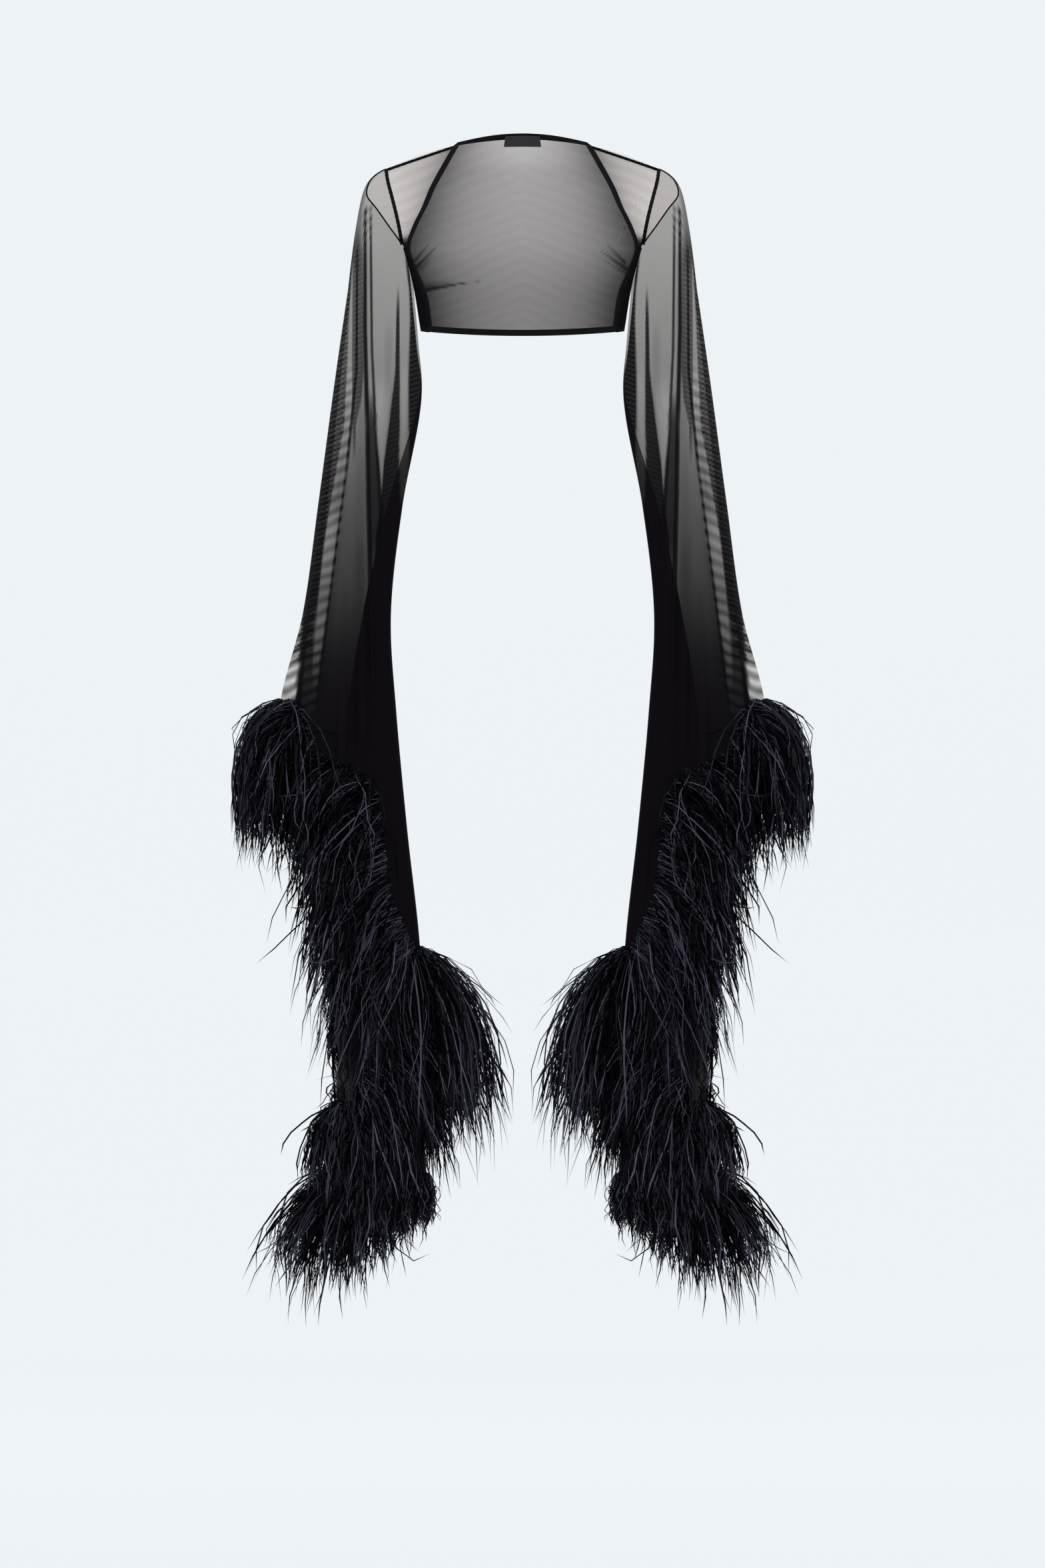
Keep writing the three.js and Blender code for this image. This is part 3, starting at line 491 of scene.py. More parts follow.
def sleeve_point(layer, share, angle, drop):
    """Points of the right sleeve, blended from a round tube into its layers."""
    cut = read(SLEEVE_ROWS, drop)
    plain, layered = round_plan(angle, cut), layered_plan(layer, share, cut)
    across, depth = (blend(a, b, cut["pleat"]) for a, b in zip(plain, layered))
    return np.stack([across, depth, -drop], -1)


def sleeve_strands():
    """Each layer's name and its shares, angles and hem drops, strand by strand."""
    for name, start, end, strands, hem in LAYERS:
        share = (np.arange(strands) + 0.5) / strands
        if isinstance(hem, dict):
            fine = np.linspace(0, 1, 400)
            fall = np.diff(smooth_curve(hem, fine, "drop"))
            weight = np.hypot(np.diff(fine) * STRAND_PULL_ACROSS, fall * STRAND_PULL_DOWN)
            weight = np.concatenate([[0], np.cumsum(weight)])
            share = np.interp(share * weight[-1], weight, fine)
            drop = smooth_curve(hem, share, "drop")
        else:
            drop = blend(*hem, smooth_step(share))
        yield name, share, blend(start, end, share), drop


def fan_out(layer, share):
    """The way feathers fan out of the sleeve, seen from above."""
    swing = np.radians(blend(-90, 90, share))
    none = np.zeros_like(share)
    flats = {"front": none - 1, "groove_front": blend(1, -1, share),
             "groove_back": blend(1, -1, share), "back": none + 1}
    if layer in flats:
        return np.stack([none, flats[layer] * FLAT_FAN, none], -1)
    way = {"outer_fold": 1, "inner_fold": -1, "groove_fold": 1, "heel_fold": -1}[layer]
    swing = -swing if layer == "outer_fold" else swing
    size = blend(FLAT_FAN, 1, np.sin(np.pi * share))
    return np.stack([way * np.cos(swing) * size, np.sin(swing) * size, none], -1)


def crease_weight(path, half, drop, across):
    """How much a crease shows at each point, from 0 to 1."""
    drops, places = zip(*path)
    way = np.clip((drop - drops[0]) / (drops[-1] - drops[0]), 0, 1)
    inside = np.minimum(drop - drops[0], drops[-1] - drop)
    fade = smooth_step(inside / CREASE_FADE + CREASE_START)
    return fade * np.exp(-((across - np.interp(drop, drops, places)) / blend(*half, way)) ** 4)


def band_weight(inner, outer, soft, drop, across):
    """How much a band shows at each point, from 0 to 1."""
    first, last = inner[0][0], inner[-1][0]
    inside = smooth_step((across - np.interp(drop, *zip(*inner))) / soft + 0.5)
    inside *= smooth_step((np.interp(drop, *zip(*outer)) - across) / soft + 0.5)
    return inside * smooth_step(np.minimum(drop - first, last - drop + BAND_FADE) / BAND_FADE)


def sleeve_grid(layer, share, angle, drop):
    """The points of one layer: its strands from the armhole over the cap to the hem."""
    start = armhole_point(angle)[:, None, :]
    share, angle = share[:, None], angle[:, None]
    arm = sleeve_point(layer, share, angle, np.full_like(share, UPPER_ARM_DROP))
    low = np.maximum(0, np.cos(np.radians(angle)))
    bend = blend(start, arm, blend(*CAP_BEND_ACROSS, low)[..., None])
    bend[..., 0] += CAP_SWELL * (1 - low) * np.abs(np.sin(np.radians(angle)))
    bend[..., 1] = blend(start[..., 1], arm[..., 1], CAP_BEND_DEPTH)
    bend[..., 2] = blend(start[..., 2], arm[..., 2], blend(*CAP_BEND_FALL, low))
    t = np.linspace(0, 1, CAP_RINGS + 1)[:-1][None, :, None]
    cap = (1 - t) ** 2 * start + 2 * t * (1 - t) * bend + t**2 * arm
    way = np.linspace(0, 1, SLEEVE_RINGS + 1)[None, :]
    drop = blend(UPPER_ARM_DROP, drop[:, None], way)
    return np.concatenate([cap, sleeve_point(layer, share + 0 * way, angle + 0 * way, drop)], 1)


def sleeve_marks(layer, across, fall):
    """The rise, density, ripple and shimmer that creases and bands add to one layer."""
    marks = np.zeros((4, *fall.shape))
    near_seam = smooth_step(np.arange(fall.shape[1])[None, :] / 6)
    for name, path, half, rise, density, ripple in SLEEVE_CREASES:
        if name == layer:
            weight = crease_weight(path, half, fall, across) * near_seam
            marks += np.multiply.outer((rise, density, ripple, 0), weight)
    if layer in BANDED_LAYERS:
        for inner, outer, density, ripple, shimmer, soft in SLEEVE_BANDS:
            weight = band_weight(inner, outer, soft, fall, across)
            marks += np.multiply.outer((0, density, ripple, shimmer), weight)
    return marks


def sleeve_cloth():
    """The right sleeve strand by strand, and the strands where its hem turns a fold."""
    parts, folds, count = [], {}, 0
    for layer, share, angle, drop in sleeve_strands():
        points = sleeve_grid(layer, share, angle, drop)
        across, fall = np.abs(points[..., 0]), -points[..., 2]
        rise, more, ripple, shimmer = sleeve_marks(layer, across, fall)
        points[..., 1] += rise * (1 if layer == "back" else -1)
        dense = smooth_curve(SLEEVE_DENSITY, fall, "density") + more
        bare = eased(fall, BARE_PATCH["top"], BARE_PATCH["fade_in"])
        bare *= smooth_step((across - BARE_PATCH["across"]) / BARE_PATCH["soft"] + 0.5)
        bare *= eased(BARE_PATCH["bottom"], fall, BARE_PATCH["fade_out"])
        dense = blend(np.maximum(dense, LEAST_DENSITY), BARE_PATCH["density"], bare)
        parts.append(dict(points=points, density=dense, ripple=ripple, shimmer=shimmer,
                          fans=fan_out(layer, share)))
        count += len(points)
        if layer.endswith("_fold"):
            folds[layer[:-5]] = count - len(points) // 2
    return {name: np.concatenate([part[name] for part in parts]) for name in parts[0]}, folds


def start_fresh():
    """Nothing stays selected, so that an operator acts on the new piece alone."""
    if bpy.context.object and bpy.context.object.mode != "OBJECT":
        bpy.ops.object.mode_set(mode="OBJECT")
    bpy.ops.object.select_all(action="DESELECT")


def laid_cloth(name, points, closed=False):
    """A flat grid of cloth, laid on its form: points[column][line] in millimetres."""
    start_fresh()
    points = points * MM
    columns, lines = points.shape[:2]
    across = columns + 1 if closed else columns
    bpy.ops.mesh.primitive_grid_add(x_subdivisions=across - 1, y_subdivisions=lines - 1, size=1)
    piece = bpy.context.object
    piece.name = piece.data.name = name
    mesh = piece.data
    flat = np.zeros(len(mesh.vertices) * 3)
    mesh.vertices.foreach_get("co", flat)
    flat = flat.reshape(-1, 3)
    i = np.rint((flat[:, 0] + 0.5) * (across - 1)).astype(int)
    j = np.rint((flat[:, 1] + 0.5) * (lines - 1)).astype(int)
    wrapped = np.concatenate([points, points[:1]]) if closed else points
    mesh.vertices.foreach_set("co", wrapped[i, j].ravel())
    # the weave runs true: the UV map is in metres along and down the cloth
    run = np.linalg.norm(np.diff(wrapped, axis=0), axis=2)
    run = np.concatenate([np.zeros((1, lines)), np.cumsum(run, 0)])
    fall = np.linalg.norm(np.diff(wrapped, axis=1), axis=2)
    fall = np.concatenate([np.zeros((across, 1)), np.cumsum(fall, 1)], 1)
    loops = np.zeros(len(mesh.loops), int)
    mesh.loops.foreach_get("vertex_index", loops)
    uv = np.stack([run[i, j], fall[i, j]], -1)[loops]
    mesh.uv_layers[0].data.foreach_set("uv", uv.ravel())
    return piece, i, j


def add_attribute(piece, name, values):
    layer = piece.data.attributes.new(name, "FLOAT", "POINT")
    layer.data.foreach_set("value", np.asarray(values, np.float32))


def close_and_turn(piece, outward_from=None, merge=True, fill=False):
    """Merges the seam of a tube, fills its ends and turns the faces outwards."""
    work = bmesh.new()
    work.from_mesh(piece.data)
    if merge:
        bmesh.ops.remove_doubles(work, verts=work.verts, dist=1e-5)
    if fill:
        bmesh.ops.holes_fill(work, edges=work.edges, sides=0)
    if outward_from is None:
        bmesh.ops.recalc_face_normals(work, faces=work.faces)
    else:
        centre = Vector(outward_from)
        side = sum((face.calc_center_median() - centre).normalized().dot(face.normal)
                   * face.calc_area() for face in work.faces)
        if side < 0:
            bmesh.ops.reverse_faces(work, faces=work.faces)
    work.to_mesh(piece.data)
    work.free()
    piece.data.shade_smooth()


def finish_piece(piece, slot, *replaced, material=None):
    """The piece gets its finish, rides on the garment's one body and stands for its nodes."""
    name = material or MATERIALS[slot]
    piece.data.materials.clear()
    piece.data.materials.append(bpy.data.materials.get(name) or FINISHES[name](name))
    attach(piece, "root")
    if replaced:
        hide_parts(*replaced)
    return piece


def link(name, data):
    """A new object in the scene."""
    thing = bpy.data.objects.new(name, data)
    bpy.context.scene.collection.objects.link(thing)
    return thing


def mirrored_copy(piece, name):
    """The same piece on the other side of the garment, with its own mesh."""
    copy = piece.copy()
    copy.data = piece.data.copy()
    copy.name = copy.data.name = name
    bpy.context.scene.collection.objects.link(copy)
    places = np.zeros(len(copy.data.vertices) * 3)
    copy.data.vertices.foreach_get("co", places)
    places[0::3] *= -1
    copy.data.vertices.foreach_set("co", places)
    copy.data.flip_normals()
    return copy


def both_sides(right, slot, node=None):
    """Finishes the right piece and a mirrored copy of it for the left."""
    pieces = []
    for side in ("right", "left"):
        name = right.name.replace("right", side)
        piece = right if side == "right" else mirrored_copy(right, name)
        pieces.append(finish_piece(piece, slot, *([f"{node}_{side}"] if node else [])))
    return pieces


def mesh_piece(name, points, faces):
    """A smooth mesh from points in millimetres."""
    mesh = bpy.data.meshes.new(name)
    mesh.from_pydata((points * MM).tolist(), [], faces)
    mesh.shade_smooth()
    return link(name, mesh)


def apply_modifier(piece, kind, **settings):
    """Adds a modifier with its settings and applies it."""
    modifier = piece.modifiers.new(kind.lower(), kind)
    for name, value in settings.items():
        setattr(modifier, name, value)
    bpy.context.view_layer.objects.active = piece
    bpy.ops.object.modifier_apply(modifier=modifier.name)


def tube_faces(rings, sides):
    """The four-sided faces between the rings of a tube."""
    return [[a, b, b + sides, a + sides] for ring in range(rings - 1) for a, b in (
        (ring * sides + k, ring * sides + (k + 1) % sides) for k in range(sides))]


def repeat(faces, count, each):
    """The faces of a shape of so many points, repeated."""
    return [[vertex + k * each for vertex in face] for k in range(count) for face in faces]


class Wire:
    """A shader socket that takes part in Python sums."""

    def __init__(self, paint, socket):
        self.paint = paint
        self.socket = socket

    def __add__(self, other):
        return self.paint.sum("ADD", self, other)

    def __sub__(self, other):
        return self.paint.sum("SUBTRACT", self, other)

    def __rsub__(self, other):
        return self.paint.sum("SUBTRACT", other, self)

    def __mul__(self, other):
        return self.paint.sum("MULTIPLY", self, other)

    __radd__ = __add__

    def sine(self):
        return self.paint.sum("SINE", self)

    def power(self, other):
        return self.paint.sum("POWER", self, other)

    def limited(self):
        return self.paint.sum("ADD", self, 0, clamp=True)


class Paint:
    """A material and the nodes that are added to it."""

    def __init__(self, name, **uniform):
        self.material = bpy.data.materials.new(name)
        self.material.use_nodes = True
        self.tree = self.material.node_tree
        self.shader = self.tree.nodes["Principled BSDF"]
        for socket, value in uniform.items():
            self.shader.inputs[socket.replace("_", " ")].default_value = value

    def node(self, kind, settings=None, **sockets):
        node = self.tree.nodes.new(kind)
        for name, value in (settings or {}).items():
            setattr(node, name, value)
        for name, value in sockets.items():
            numbered = name[0] == "i" and name[1:].isdigit()
            key = int(name[1:]) if numbered else name.replace("_", " ")
            self.put(node.inputs[key], value)
        return node

    def put(self, socket, value):
        if isinstance(value, Wire):
            self.tree.links.new(value.socket, socket)
        else:
            socket.default_value = value

    def out(self, node, name=0):
        return Wire(self, node.outputs[name])

    def sum(self, operation, *values, clamp=False):
        settings = {"operation": operation, "use_clamp": clamp}
        inputs = {f"i{k}": value for k, value in enumerate(values)}
        return self.out(self.node("ShaderNodeMath", settings, **inputs))

    def attribute(self, name):
        settings = {"attribute_type": "GEOMETRY", "attribute_name": name}
        return self.out(self.node("ShaderNodeAttribute", settings), "Fac")

    def spot(self):
        return self.out(self.node("ShaderNodeTexCoord"), "Object")

    def split(self, vector):
        node = self.node("ShaderNodeSeparateXYZ", None, Vector=vector)
        return [self.out(node, axis) for axis in "XYZ"]

    def noise(self, vector, scale, detail=2.0):
        node = self.node("ShaderNodeTexNoise", None, Vector=vector, Scale=scale, Detail=detail)
        return self.out(node, "Fac")

    def set(self, socket, value):
        self.put(self.shader.inputs[socket], value)

    def color(self, factor, a, b):
        """The base colour, mixed of two."""
        settings = {"data_type": "RGBA"}
        node = self.node("ShaderNodeMix", settings, i0=factor, i6=(*a, 1), i7=(*b, 1))
        self.set("Base Color", self.out(node, 2))

    def bump(self, strength, distance, height):
        node = self.node("ShaderNodeBump", None, Strength=strength, Distance=distance,
                         Height=height)
        self.set("Normal", self.out(node))

    def see_through(self, cover, color):
        """Let the light of one colour pass wherever the cover is thin."""
        clear = self.out(self.node("ShaderNodeBsdfTransparent", None, Color=(*color, 1)))
        shader = Wire(self, self.shader.outputs[0])
        cloth = self.node("ShaderNodeMixShader", None, i0=cover, i1=clear, i2=shader)
        self.put(self.tree.nodes["Material Output"].inputs["Surface"], self.out(cloth))


def net_finish(name):
    """Sheer stretch net: its weave and ripples are in how much it hides."""
    look = bpy.context.scene.shrug_net
    paint = Paint(name, Roughness=0.75, Specular_IOR_Level=0.02)
    across, down, _ = paint.split(paint.out(paint.node("ShaderNodeUVMap")))
    turns = 2 * math.pi / look.mesh_pitch
    cells = (across * turns).sine() * (down * turns * 0.58).sine()
    spot = paint.spot()
    side, _, level = paint.split(spot)
    blotch = paint.noise(spot, 7.0, 3.0)
    wobble = paint.noise(spot, 18.0, 1.0)
    bow = paint.sum("ABSOLUTE", side) * 160
    bars = (level * (2 * math.pi / look.ripple_pitch) + bow + wobble * 5).sine()
    knots = (level * (2 * math.pi / look.shimmer_pitch) + bow * 2.2 + wobble * 4).sine()
    rows = (bow * 7 + wobble * 9).sine()
    ripple = paint.attribute("ripple") * bars * 0.24
    shimmer = paint.attribute("shimmer") * (knots * 0.16 + knots * rows * 0.12)
    cover = paint.attribute("cover")
    gaps = 1 - cover
    weave = cells * gaps * cover * 0.9
    alpha = cover + weave + (ripple + shimmer) * gaps.power(0.45) + (blotch - 0.5) * gaps * 0.12
    light = look.light_through_back if name == "back_net" else look.light_through
    paint.see_through(alpha.limited(), light)
    paint.color(blotch * 0.3, look.color, look.color_deep)
    paint.bump(0.25, 0.0004, cells)
    return paint.material


def binding_finish(name):
    """Folded net: close, matt and grainy."""
    look = bpy.context.scene.shrug_net
    paint = Paint(name, Roughness=0.75, Specular_IOR_Level=0.08)
    spot = paint.spot()
    grain = paint.noise(spot, 900.0)
    paint.color(paint.noise(spot, 30.0) * 0.6 + grain * 0.4, look.color_deep, look.binding_color)
    paint.set("Roughness", 0.6 + grain * 0.25)
    paint.bump(0.5, 0.0004, grain)
    return paint.material


def label_finish(name):
    """Plain satin with fine upright threads."""
    look = bpy.context.scene.shrug_net
    paint = Paint(name, Roughness=0.45, Specular_IOR_Level=0.3)
    side = paint.split(paint.spot())[0]
    threads = (side * (2 * math.pi / look.thread_pitch)).sine() * 0.5 + 0.5
    paint.color(threads, look.color_deep, look.label_color)
    paint.bump(0.3, 0.0002, threads)
    return paint.material


def feather_finish(name):
    """Black barbs; the lighter ones take a blue cast, partly their own navy and partly painted
    highlights.
    """
    look = bpy.context.scene.shrug_feather
    paint = Paint(name, Roughness=0.45, Specular_IOR_Level=0.01)
    tone, spot = paint.attribute("tone"), paint.spot()
    # the blue cast in noisy patches: partly the feathers' navy, partly painted highlights
    blue_and_highlight = (tone * (0.35 + paint.noise(spot, 14.0) * 1.3)).limited()
    paint.color(blue_and_highlight, look.color_deep, look.color_blue_and_highlight)
    fuzz = paint.noise(spot, 1400.0)
    paint.set("Roughness", 0.36 + fuzz * 0.3)
    paint.bump(0.6, 0.0006, fuzz)
    return paint.material


FINISHES = {"sheer_net": net_finish, "back_net": net_finish, "folded_binding": binding_finish,
            "label_satin": label_finish, "ostrich_barbs": feather_finish}
MATERIALS = {"net": "sheer_net", "binding": "folded_binding", "label": "label_satin",
             "feather": "ostrich_barbs"}


def cover_of(density):
    """How much a layer of this density hides."""
    return 1 - np.exp(CLEAR_DENSITY - density)


def make_back_panel():
    share = np.linspace(-1, 1, BACK_COLUMNS + 1)[:, None]
    points = back_point(share, np.linspace(0, BACK_TOP, BACK_LINES + 1)[None, :])
    across, fall = points[..., 0], -points[..., 2]
    inside = np.interp(fall, -FRONT_ROWS["inner_z"], FRONT_ROWS["inner_x"]) - np.abs(across)
    # painted shade: the open back darkens toward the front edges and lower down, as if in the
    # body's shadow
    low = eased(fall, PAINTED_EDGE_SHADE["top_drop"], PAINTED_EDGE_SHADE["over"])
    edge_shade = blend(PAINTED_EDGE_SHADE["top"], PAINTED_EDGE_SHADE["low"], low)
    open_back = smooth_curve(BACK_DENSITY, fall, "density")
    open_back = open_back + edge_shade * np.exp(-np.maximum(inside, 0) / PAINTED_EDGE_SHADE["reach"])
    # painted light: under the yokes the back is kept thin so that the lit yokes read paler,
    # rising toward the front edge
    under_yoke = YOKE["back"] + YOKE["back_edge"] * np.exp(np.minimum(inside, 0) / YOKE["reach"])
    low = eased(fall, YOKE["side_drop"], YOKE["side_over"])
    under_yoke = blend(under_yoke, YOKE["side"], low)
    density = blend(under_yoke, open_back, smooth_step(inside / YOKE["edge_soft"] + 0.5))
    total_rise = np.zeros_like(across)
    # narrow creases add gathered cloth, and the wide ones add a painted shadow to the density
    for start, end, half, rise, more in BACK_CREASES_AND_SHADOWS:
        run, drop = end[0] - start[0], end[1] - start[1]
        way = (across - start[0]) * run + (fall - start[1]) * drop
        way = np.clip(way / (run * run + drop * drop), 0, 1)
        off = np.hypot(across - blend(start[0], end[0], way), fall - blend(start[1], end[1], way))
        weight = np.exp(-(off / (half * (BACK_CREASE_START - way))) ** 2)
        weight *= 1 - BACK_CREASE_LOSS * way
        total_rise += rise * weight
        density = density + more * weight
    points[..., 1] -= total_rise
    piece, i, j = laid_cloth("back_net", points)
    add_attribute(piece, "cover", cover_of(density - CLEAR_DENSITY)[i, j])
    add_attribute(piece, "ripple", np.full(len(i), BACK_RIPPLE))
    close_and_turn(piece, outward_from=(0, -0.2, -0.15), merge=False)
    finish_piece(piece, "net", "back_panel", material="back_net")


def make_front_panels():
    share = np.linspace(0, 1, FRONT_COLUMNS + 1)[:, None]
    row = np.linspace(0, FRONT_LOW, FRONT_LINES + 1)[None, :]
    points = front_point(share, row)
    density = blend(YOKE["front"], YOKE["side"], smooth_step(row - YOKE["side_row"])) + 0 * share
    high = smooth_step((YOKE["shoulder_row"] - row) / YOKE["shoulder_row"])
    density = density + YOKE["shoulder"] * high
    high = smooth_step((YOKE["neck_row"] - row) / YOKE["neck_row"])
    density = density + YOKE["neck"] * (1 - share) * high
    waves = np.sin(share * DRAPE["across"] + row * DRAPE["down"]) * np.sin(np.pi * share)
    waves *= eased(DRAPE["end_row"], row, DRAPE["fade_out"]) * smooth_step(row / DRAPE["fade_in"])
    points[..., 1] += DRAPE["depth"] * waves
    piece, i, j = laid_cloth("front_net_right", points)
    add_attribute(piece, "cover", cover_of(density)[i, j])
    add_attribute(piece, "ripple", np.full(len(i), FRONT_RIPPLE))
    close_and_turn(piece, outward_from=(0.05, 0.0, -0.12), merge=False)
    for panel in both_sides(piece, "net", "front_panel"):
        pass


def make_sleeves():
    cloth, _ = sleeve_cloth()
    piece, i, j = laid_cloth("sleeve_net_right", cloth["points"], closed=True)
    wrap = i % len(cloth["points"])
    cloth["cover"] = cover_of(cloth["density"])
    for name in ("cover", "ripple", "shimmer"):
        add_attribute(piece, name, cloth[name][wrap, j])
    close_and_turn(piece, outward_from=(0.25, -0.085, -0.5))
    for sleeve in both_sides(piece, "net", "sleeve"):
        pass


def edge_strip(name, edge, away):
    """A folded strip of cloth laid past an edge and given its thickness and round folds."""
    across = np.linspace(-BINDING_LAP, BINDING_WIDTH, 5)[:, None, None]
    piece, _, _ = laid_cloth(name, edge[None] + away[None] * across)
    apply_modifier(piece, "SOLIDIFY", thickness=BINDING_THICKNESS * MM, offset=0)
    apply_modifier(piece, "BEVEL", width=BINDING_THICKNESS * 0.3 * MM, segments=2,
                   limit_method="ANGLE", angle_limit=math.radians(60))
    close_and_turn(piece, merge=False)
    return piece


def edge_line(point, share, row, inside_share, inside_row):
    """A panel's edge and its way out, away from the points just inside it."""
    line = point(share, row)
    return line, unit(line - point(inside_share, inside_row))


def edge_lines():
    """The garment's open edges: points and the way out of the panel, for each binding."""
    share = np.linspace(-NECK_SHARE, NECK_SHARE, 61)
    neck, neck_out = edge_line(back_point, share, BACK_TOP, share, BACK_TOP - 0.5)
    row = np.linspace(0, FRONT_LOW, 91)
    front, front_out = edge_line(front_point, 0, row, 0.15, row)
    share = np.linspace(-1, 1, 121)
    hem, hem_out = edge_line(back_point, share, 0, share, 0.5)
    share = np.linspace(0.7, 0, 8)
    right, right_out = edge_line(front_point, share, FRONT_LOW, share, FRONT_LOW - 0.5)
    flip = np.array([-1, 1, 1])
    hem = np.concatenate([(right * flip)[::-1], hem, right])
    hem_out = np.concatenate([(right_out * flip)[::-1], hem_out, right_out])
    # the ends meet along one line
    neck_out[-1] = front_out[0] = unit(neck_out[-1] + front_out[0])
    neck_out[0] = neck_out[-1] * flip
    hem_out[-1] = front_out[-1] = unit(hem_out[-1] + front_out[-1])
    hem_out[0] = hem_out[-1] * flip
    return {"neck": (neck, neck_out), "hem": (hem, hem_out), "front": (front, front_out)}


def stitch_row(name, line, out_of_cloth):
    """A row of small stitches along a line of points, modelled once and repeated."""
    start_fresh()
    bpy.ops.mesh.primitive_uv_sphere_add(segments=6, ring_count=4, radius=0.5)
    one = bpy.context.object
    shape = np.array([vertex.co[:] for vertex in one.data.vertices])
    shape = shape * (STITCH_LENGTH, STITCH_WIDTH, STITCH_WIDTH)
    faces = [list(face.vertices) for face in one.data.polygons]
    bpy.data.objects.remove(one)
    whole = lengths(line)[-1]
    at = np.arange(STITCH_PITCH, whole - STITCH_PITCH, STITCH_PITCH) / whole
    spots = resample(line, at)
    along = resample(line, np.minimum(at + 0.002, 1)) - resample(line, np.maximum(at - 0.002, 0))
    along, out = unit(along), unit(resample(out_of_cloth, at))
    ways = (along, unit(np.cross(along, out)), out)
    places = spots[:, None] + sum(shape[None, :, k:k + 1] * ways[k][:, None] for k in range(3))
    return mesh_piece(name, places.reshape(-1, 3), repeat(faces, len(spots), len(shape)))


def make_bindings():
    for name, (edge, away) in edge_lines().items():
        side = "_right" if name == "front" else ""
        strip = edge_strip(f"{name}_strip{side}", edge, away)
        normal = unit(np.cross(np.gradient(edge, axis=0), away))
        normal *= np.sign((normal * (0, -1, 0.3)).sum(-1, keepdims=True).mean())
        row = edge + away * (STITCH_INSET - BINDING_LAP) + normal * BINDING_THICKNESS * 0.5
        stitches = stitch_row(f"{name}_stitches{side}", row, normal)
        if side:
            strips = both_sides(strip, "binding", "front_binding")
            seams = both_sides(stitches, "binding")
        else:
            strips = [finish_piece(strip, "binding", f"{name}_binding")]
            seams = [finish_piece(stitches, "binding")]
        length = lengths(edge)[-1] * MM
        for strip, stitches in zip(strips, seams):
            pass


def make_label():
    """A plain woven tab with turned ends, bare, set along the back neck."""
    start_fresh()
    bpy.ops.mesh.primitive_cube_add(size=1)
    label = bpy.context.object
    label.name = label.data.name = "label_tab"
    bpy.ops.object.mode_set(mode="EDIT")
    size = (2 * LABEL_HALF * MM, LABEL_THICKNESS * MM, (LABEL_TOP + LABEL_DEPTH) * MM)
    bpy.ops.transform.resize(value=size)
    bpy.ops.mesh.subdivide(number_cuts=15)
    bpy.ops.object.mode_set(mode="OBJECT")
    apply_modifier(label, "BEVEL", width=LABEL_THICKNESS * 0.3 * MM, segments=2,
                   limit_method="ANGLE")
    for vertex in label.data.vertices:
        x, y, z = np.array(vertex.co) / MM
        share, rise = x / BACK_ROWS["half"][-1], z + (LABEL_TOP - LABEL_DEPTH) / 2
        edge, away = edge_line(back_point, share, BACK_TOP, share, BACK_TOP - 0.5)
        bow = 0.25 * math.sin(share * 60) * (1 if rise < 0 else 0.4)
        vertex.co = (edge + away * rise + (0, y - LABEL_STAND_OFF + bow, 0)) * MM
    label.data.shade_smooth()
    finish_piece(label, "label", "neck_label")


def seam_tube(name, line, outward, width, depth, waver):
    """A rounded, slightly uneven ridge of turned-in cloth along a seam."""
    along = unit(np.gradient(line, axis=0))
    across = unit(np.cross(along, np.array(outward, float) + 0 * along))
    out = unit(np.cross(across, along))
    turn = np.linspace(0, 2 * np.pi, SEAM_SIDES, endpoint=False)[:, None, None]
    steps = np.arange(len(line))
    uneven = (1 + waver * np.sin(steps * 1.9) * np.sin(steps * 0.7))[None, :, None]
    ring = np.cos(turn) * across[None] * width / 2 * uneven + np.sin(turn) * out[None] * depth / 2
    piece, _, _ = laid_cloth(name, line[None] + ring, closed=True)
    close_and_turn(piece, fill=True)
    return piece


def make_seams():
    """Armhole, shoulder and side seams, where the panels' turnings lie on each other."""
    front_armhole = armhole_point(np.linspace(182, 357, 90)) - (0.4, 0, 0)
    back_armhole = armhole_point(np.linspace(4, 178, 90)) - (0.4, 0, 0)
    shoulder = front_point(np.linspace(0.02, 0.98, 50), 0) + (0, 0.4, -1.6)
    side = front_point(1, np.linspace(UNDERARM_FRONT_ROW + 0.1, FRONT_LOW, 40)) + (0.2, 0.5, 0)
    # the line, the way out, the width and depth, and how uneven it is
    for name, *sizes in (
        ("armhole_seam_front", front_armhole, (0, -1, 0.3), 5.0, 2.2, 0.12),
        ("armhole_seam_back", back_armhole, (0.3, 1, 0.2), 2.2, 1.6, 0.08),
        ("shoulder_seam", shoulder, (0, -1, 0.4), 4.2, 1.8, 0.1),
        ("side_seam", side, (1, -0.3, 0), 3.0, 1.6, 0.08),
    ):
        both_sides(seam_tube(f"{name}_right", *sizes), "binding")


def hem_facts():
    """The right sleeve's hem: its points, directions and fan, and where its folds lie."""
    cloth, folds = sleeve_cloth()
    hem, above = cloth["points"][:, -1], cloth["points"][:, -2]
    along = unit(np.roll(hem, -1, 0) - np.roll(hem, 1, 0))
    surface = unit(np.cross(np.roll(above, -1, 0) - np.roll(above, 1, 0), hem - above))
    away = unit(np.cross(along, surface))
    away *= np.sign(((hem - above) * away).sum(-1, keepdims=True))
    return dict(point=hem, along=along, away=away, fan=cloth["fans"]), folds


def hem_stretch(hem, first, last):
    """The hem between two strands, with the length reached at each point."""
    count = len(hem["point"])
    order = np.arange(first, last + 1 + (count if last < first else 0)) % count
    part = {name: values[order] for name, values in hem.items()}
    part["reached"] = lengths(part["point"])
    return part


def at_length(part, name, length):
    """The hem's points or one of its directions at the given lengths."""
    return walk(part[name], part["reached"], length)


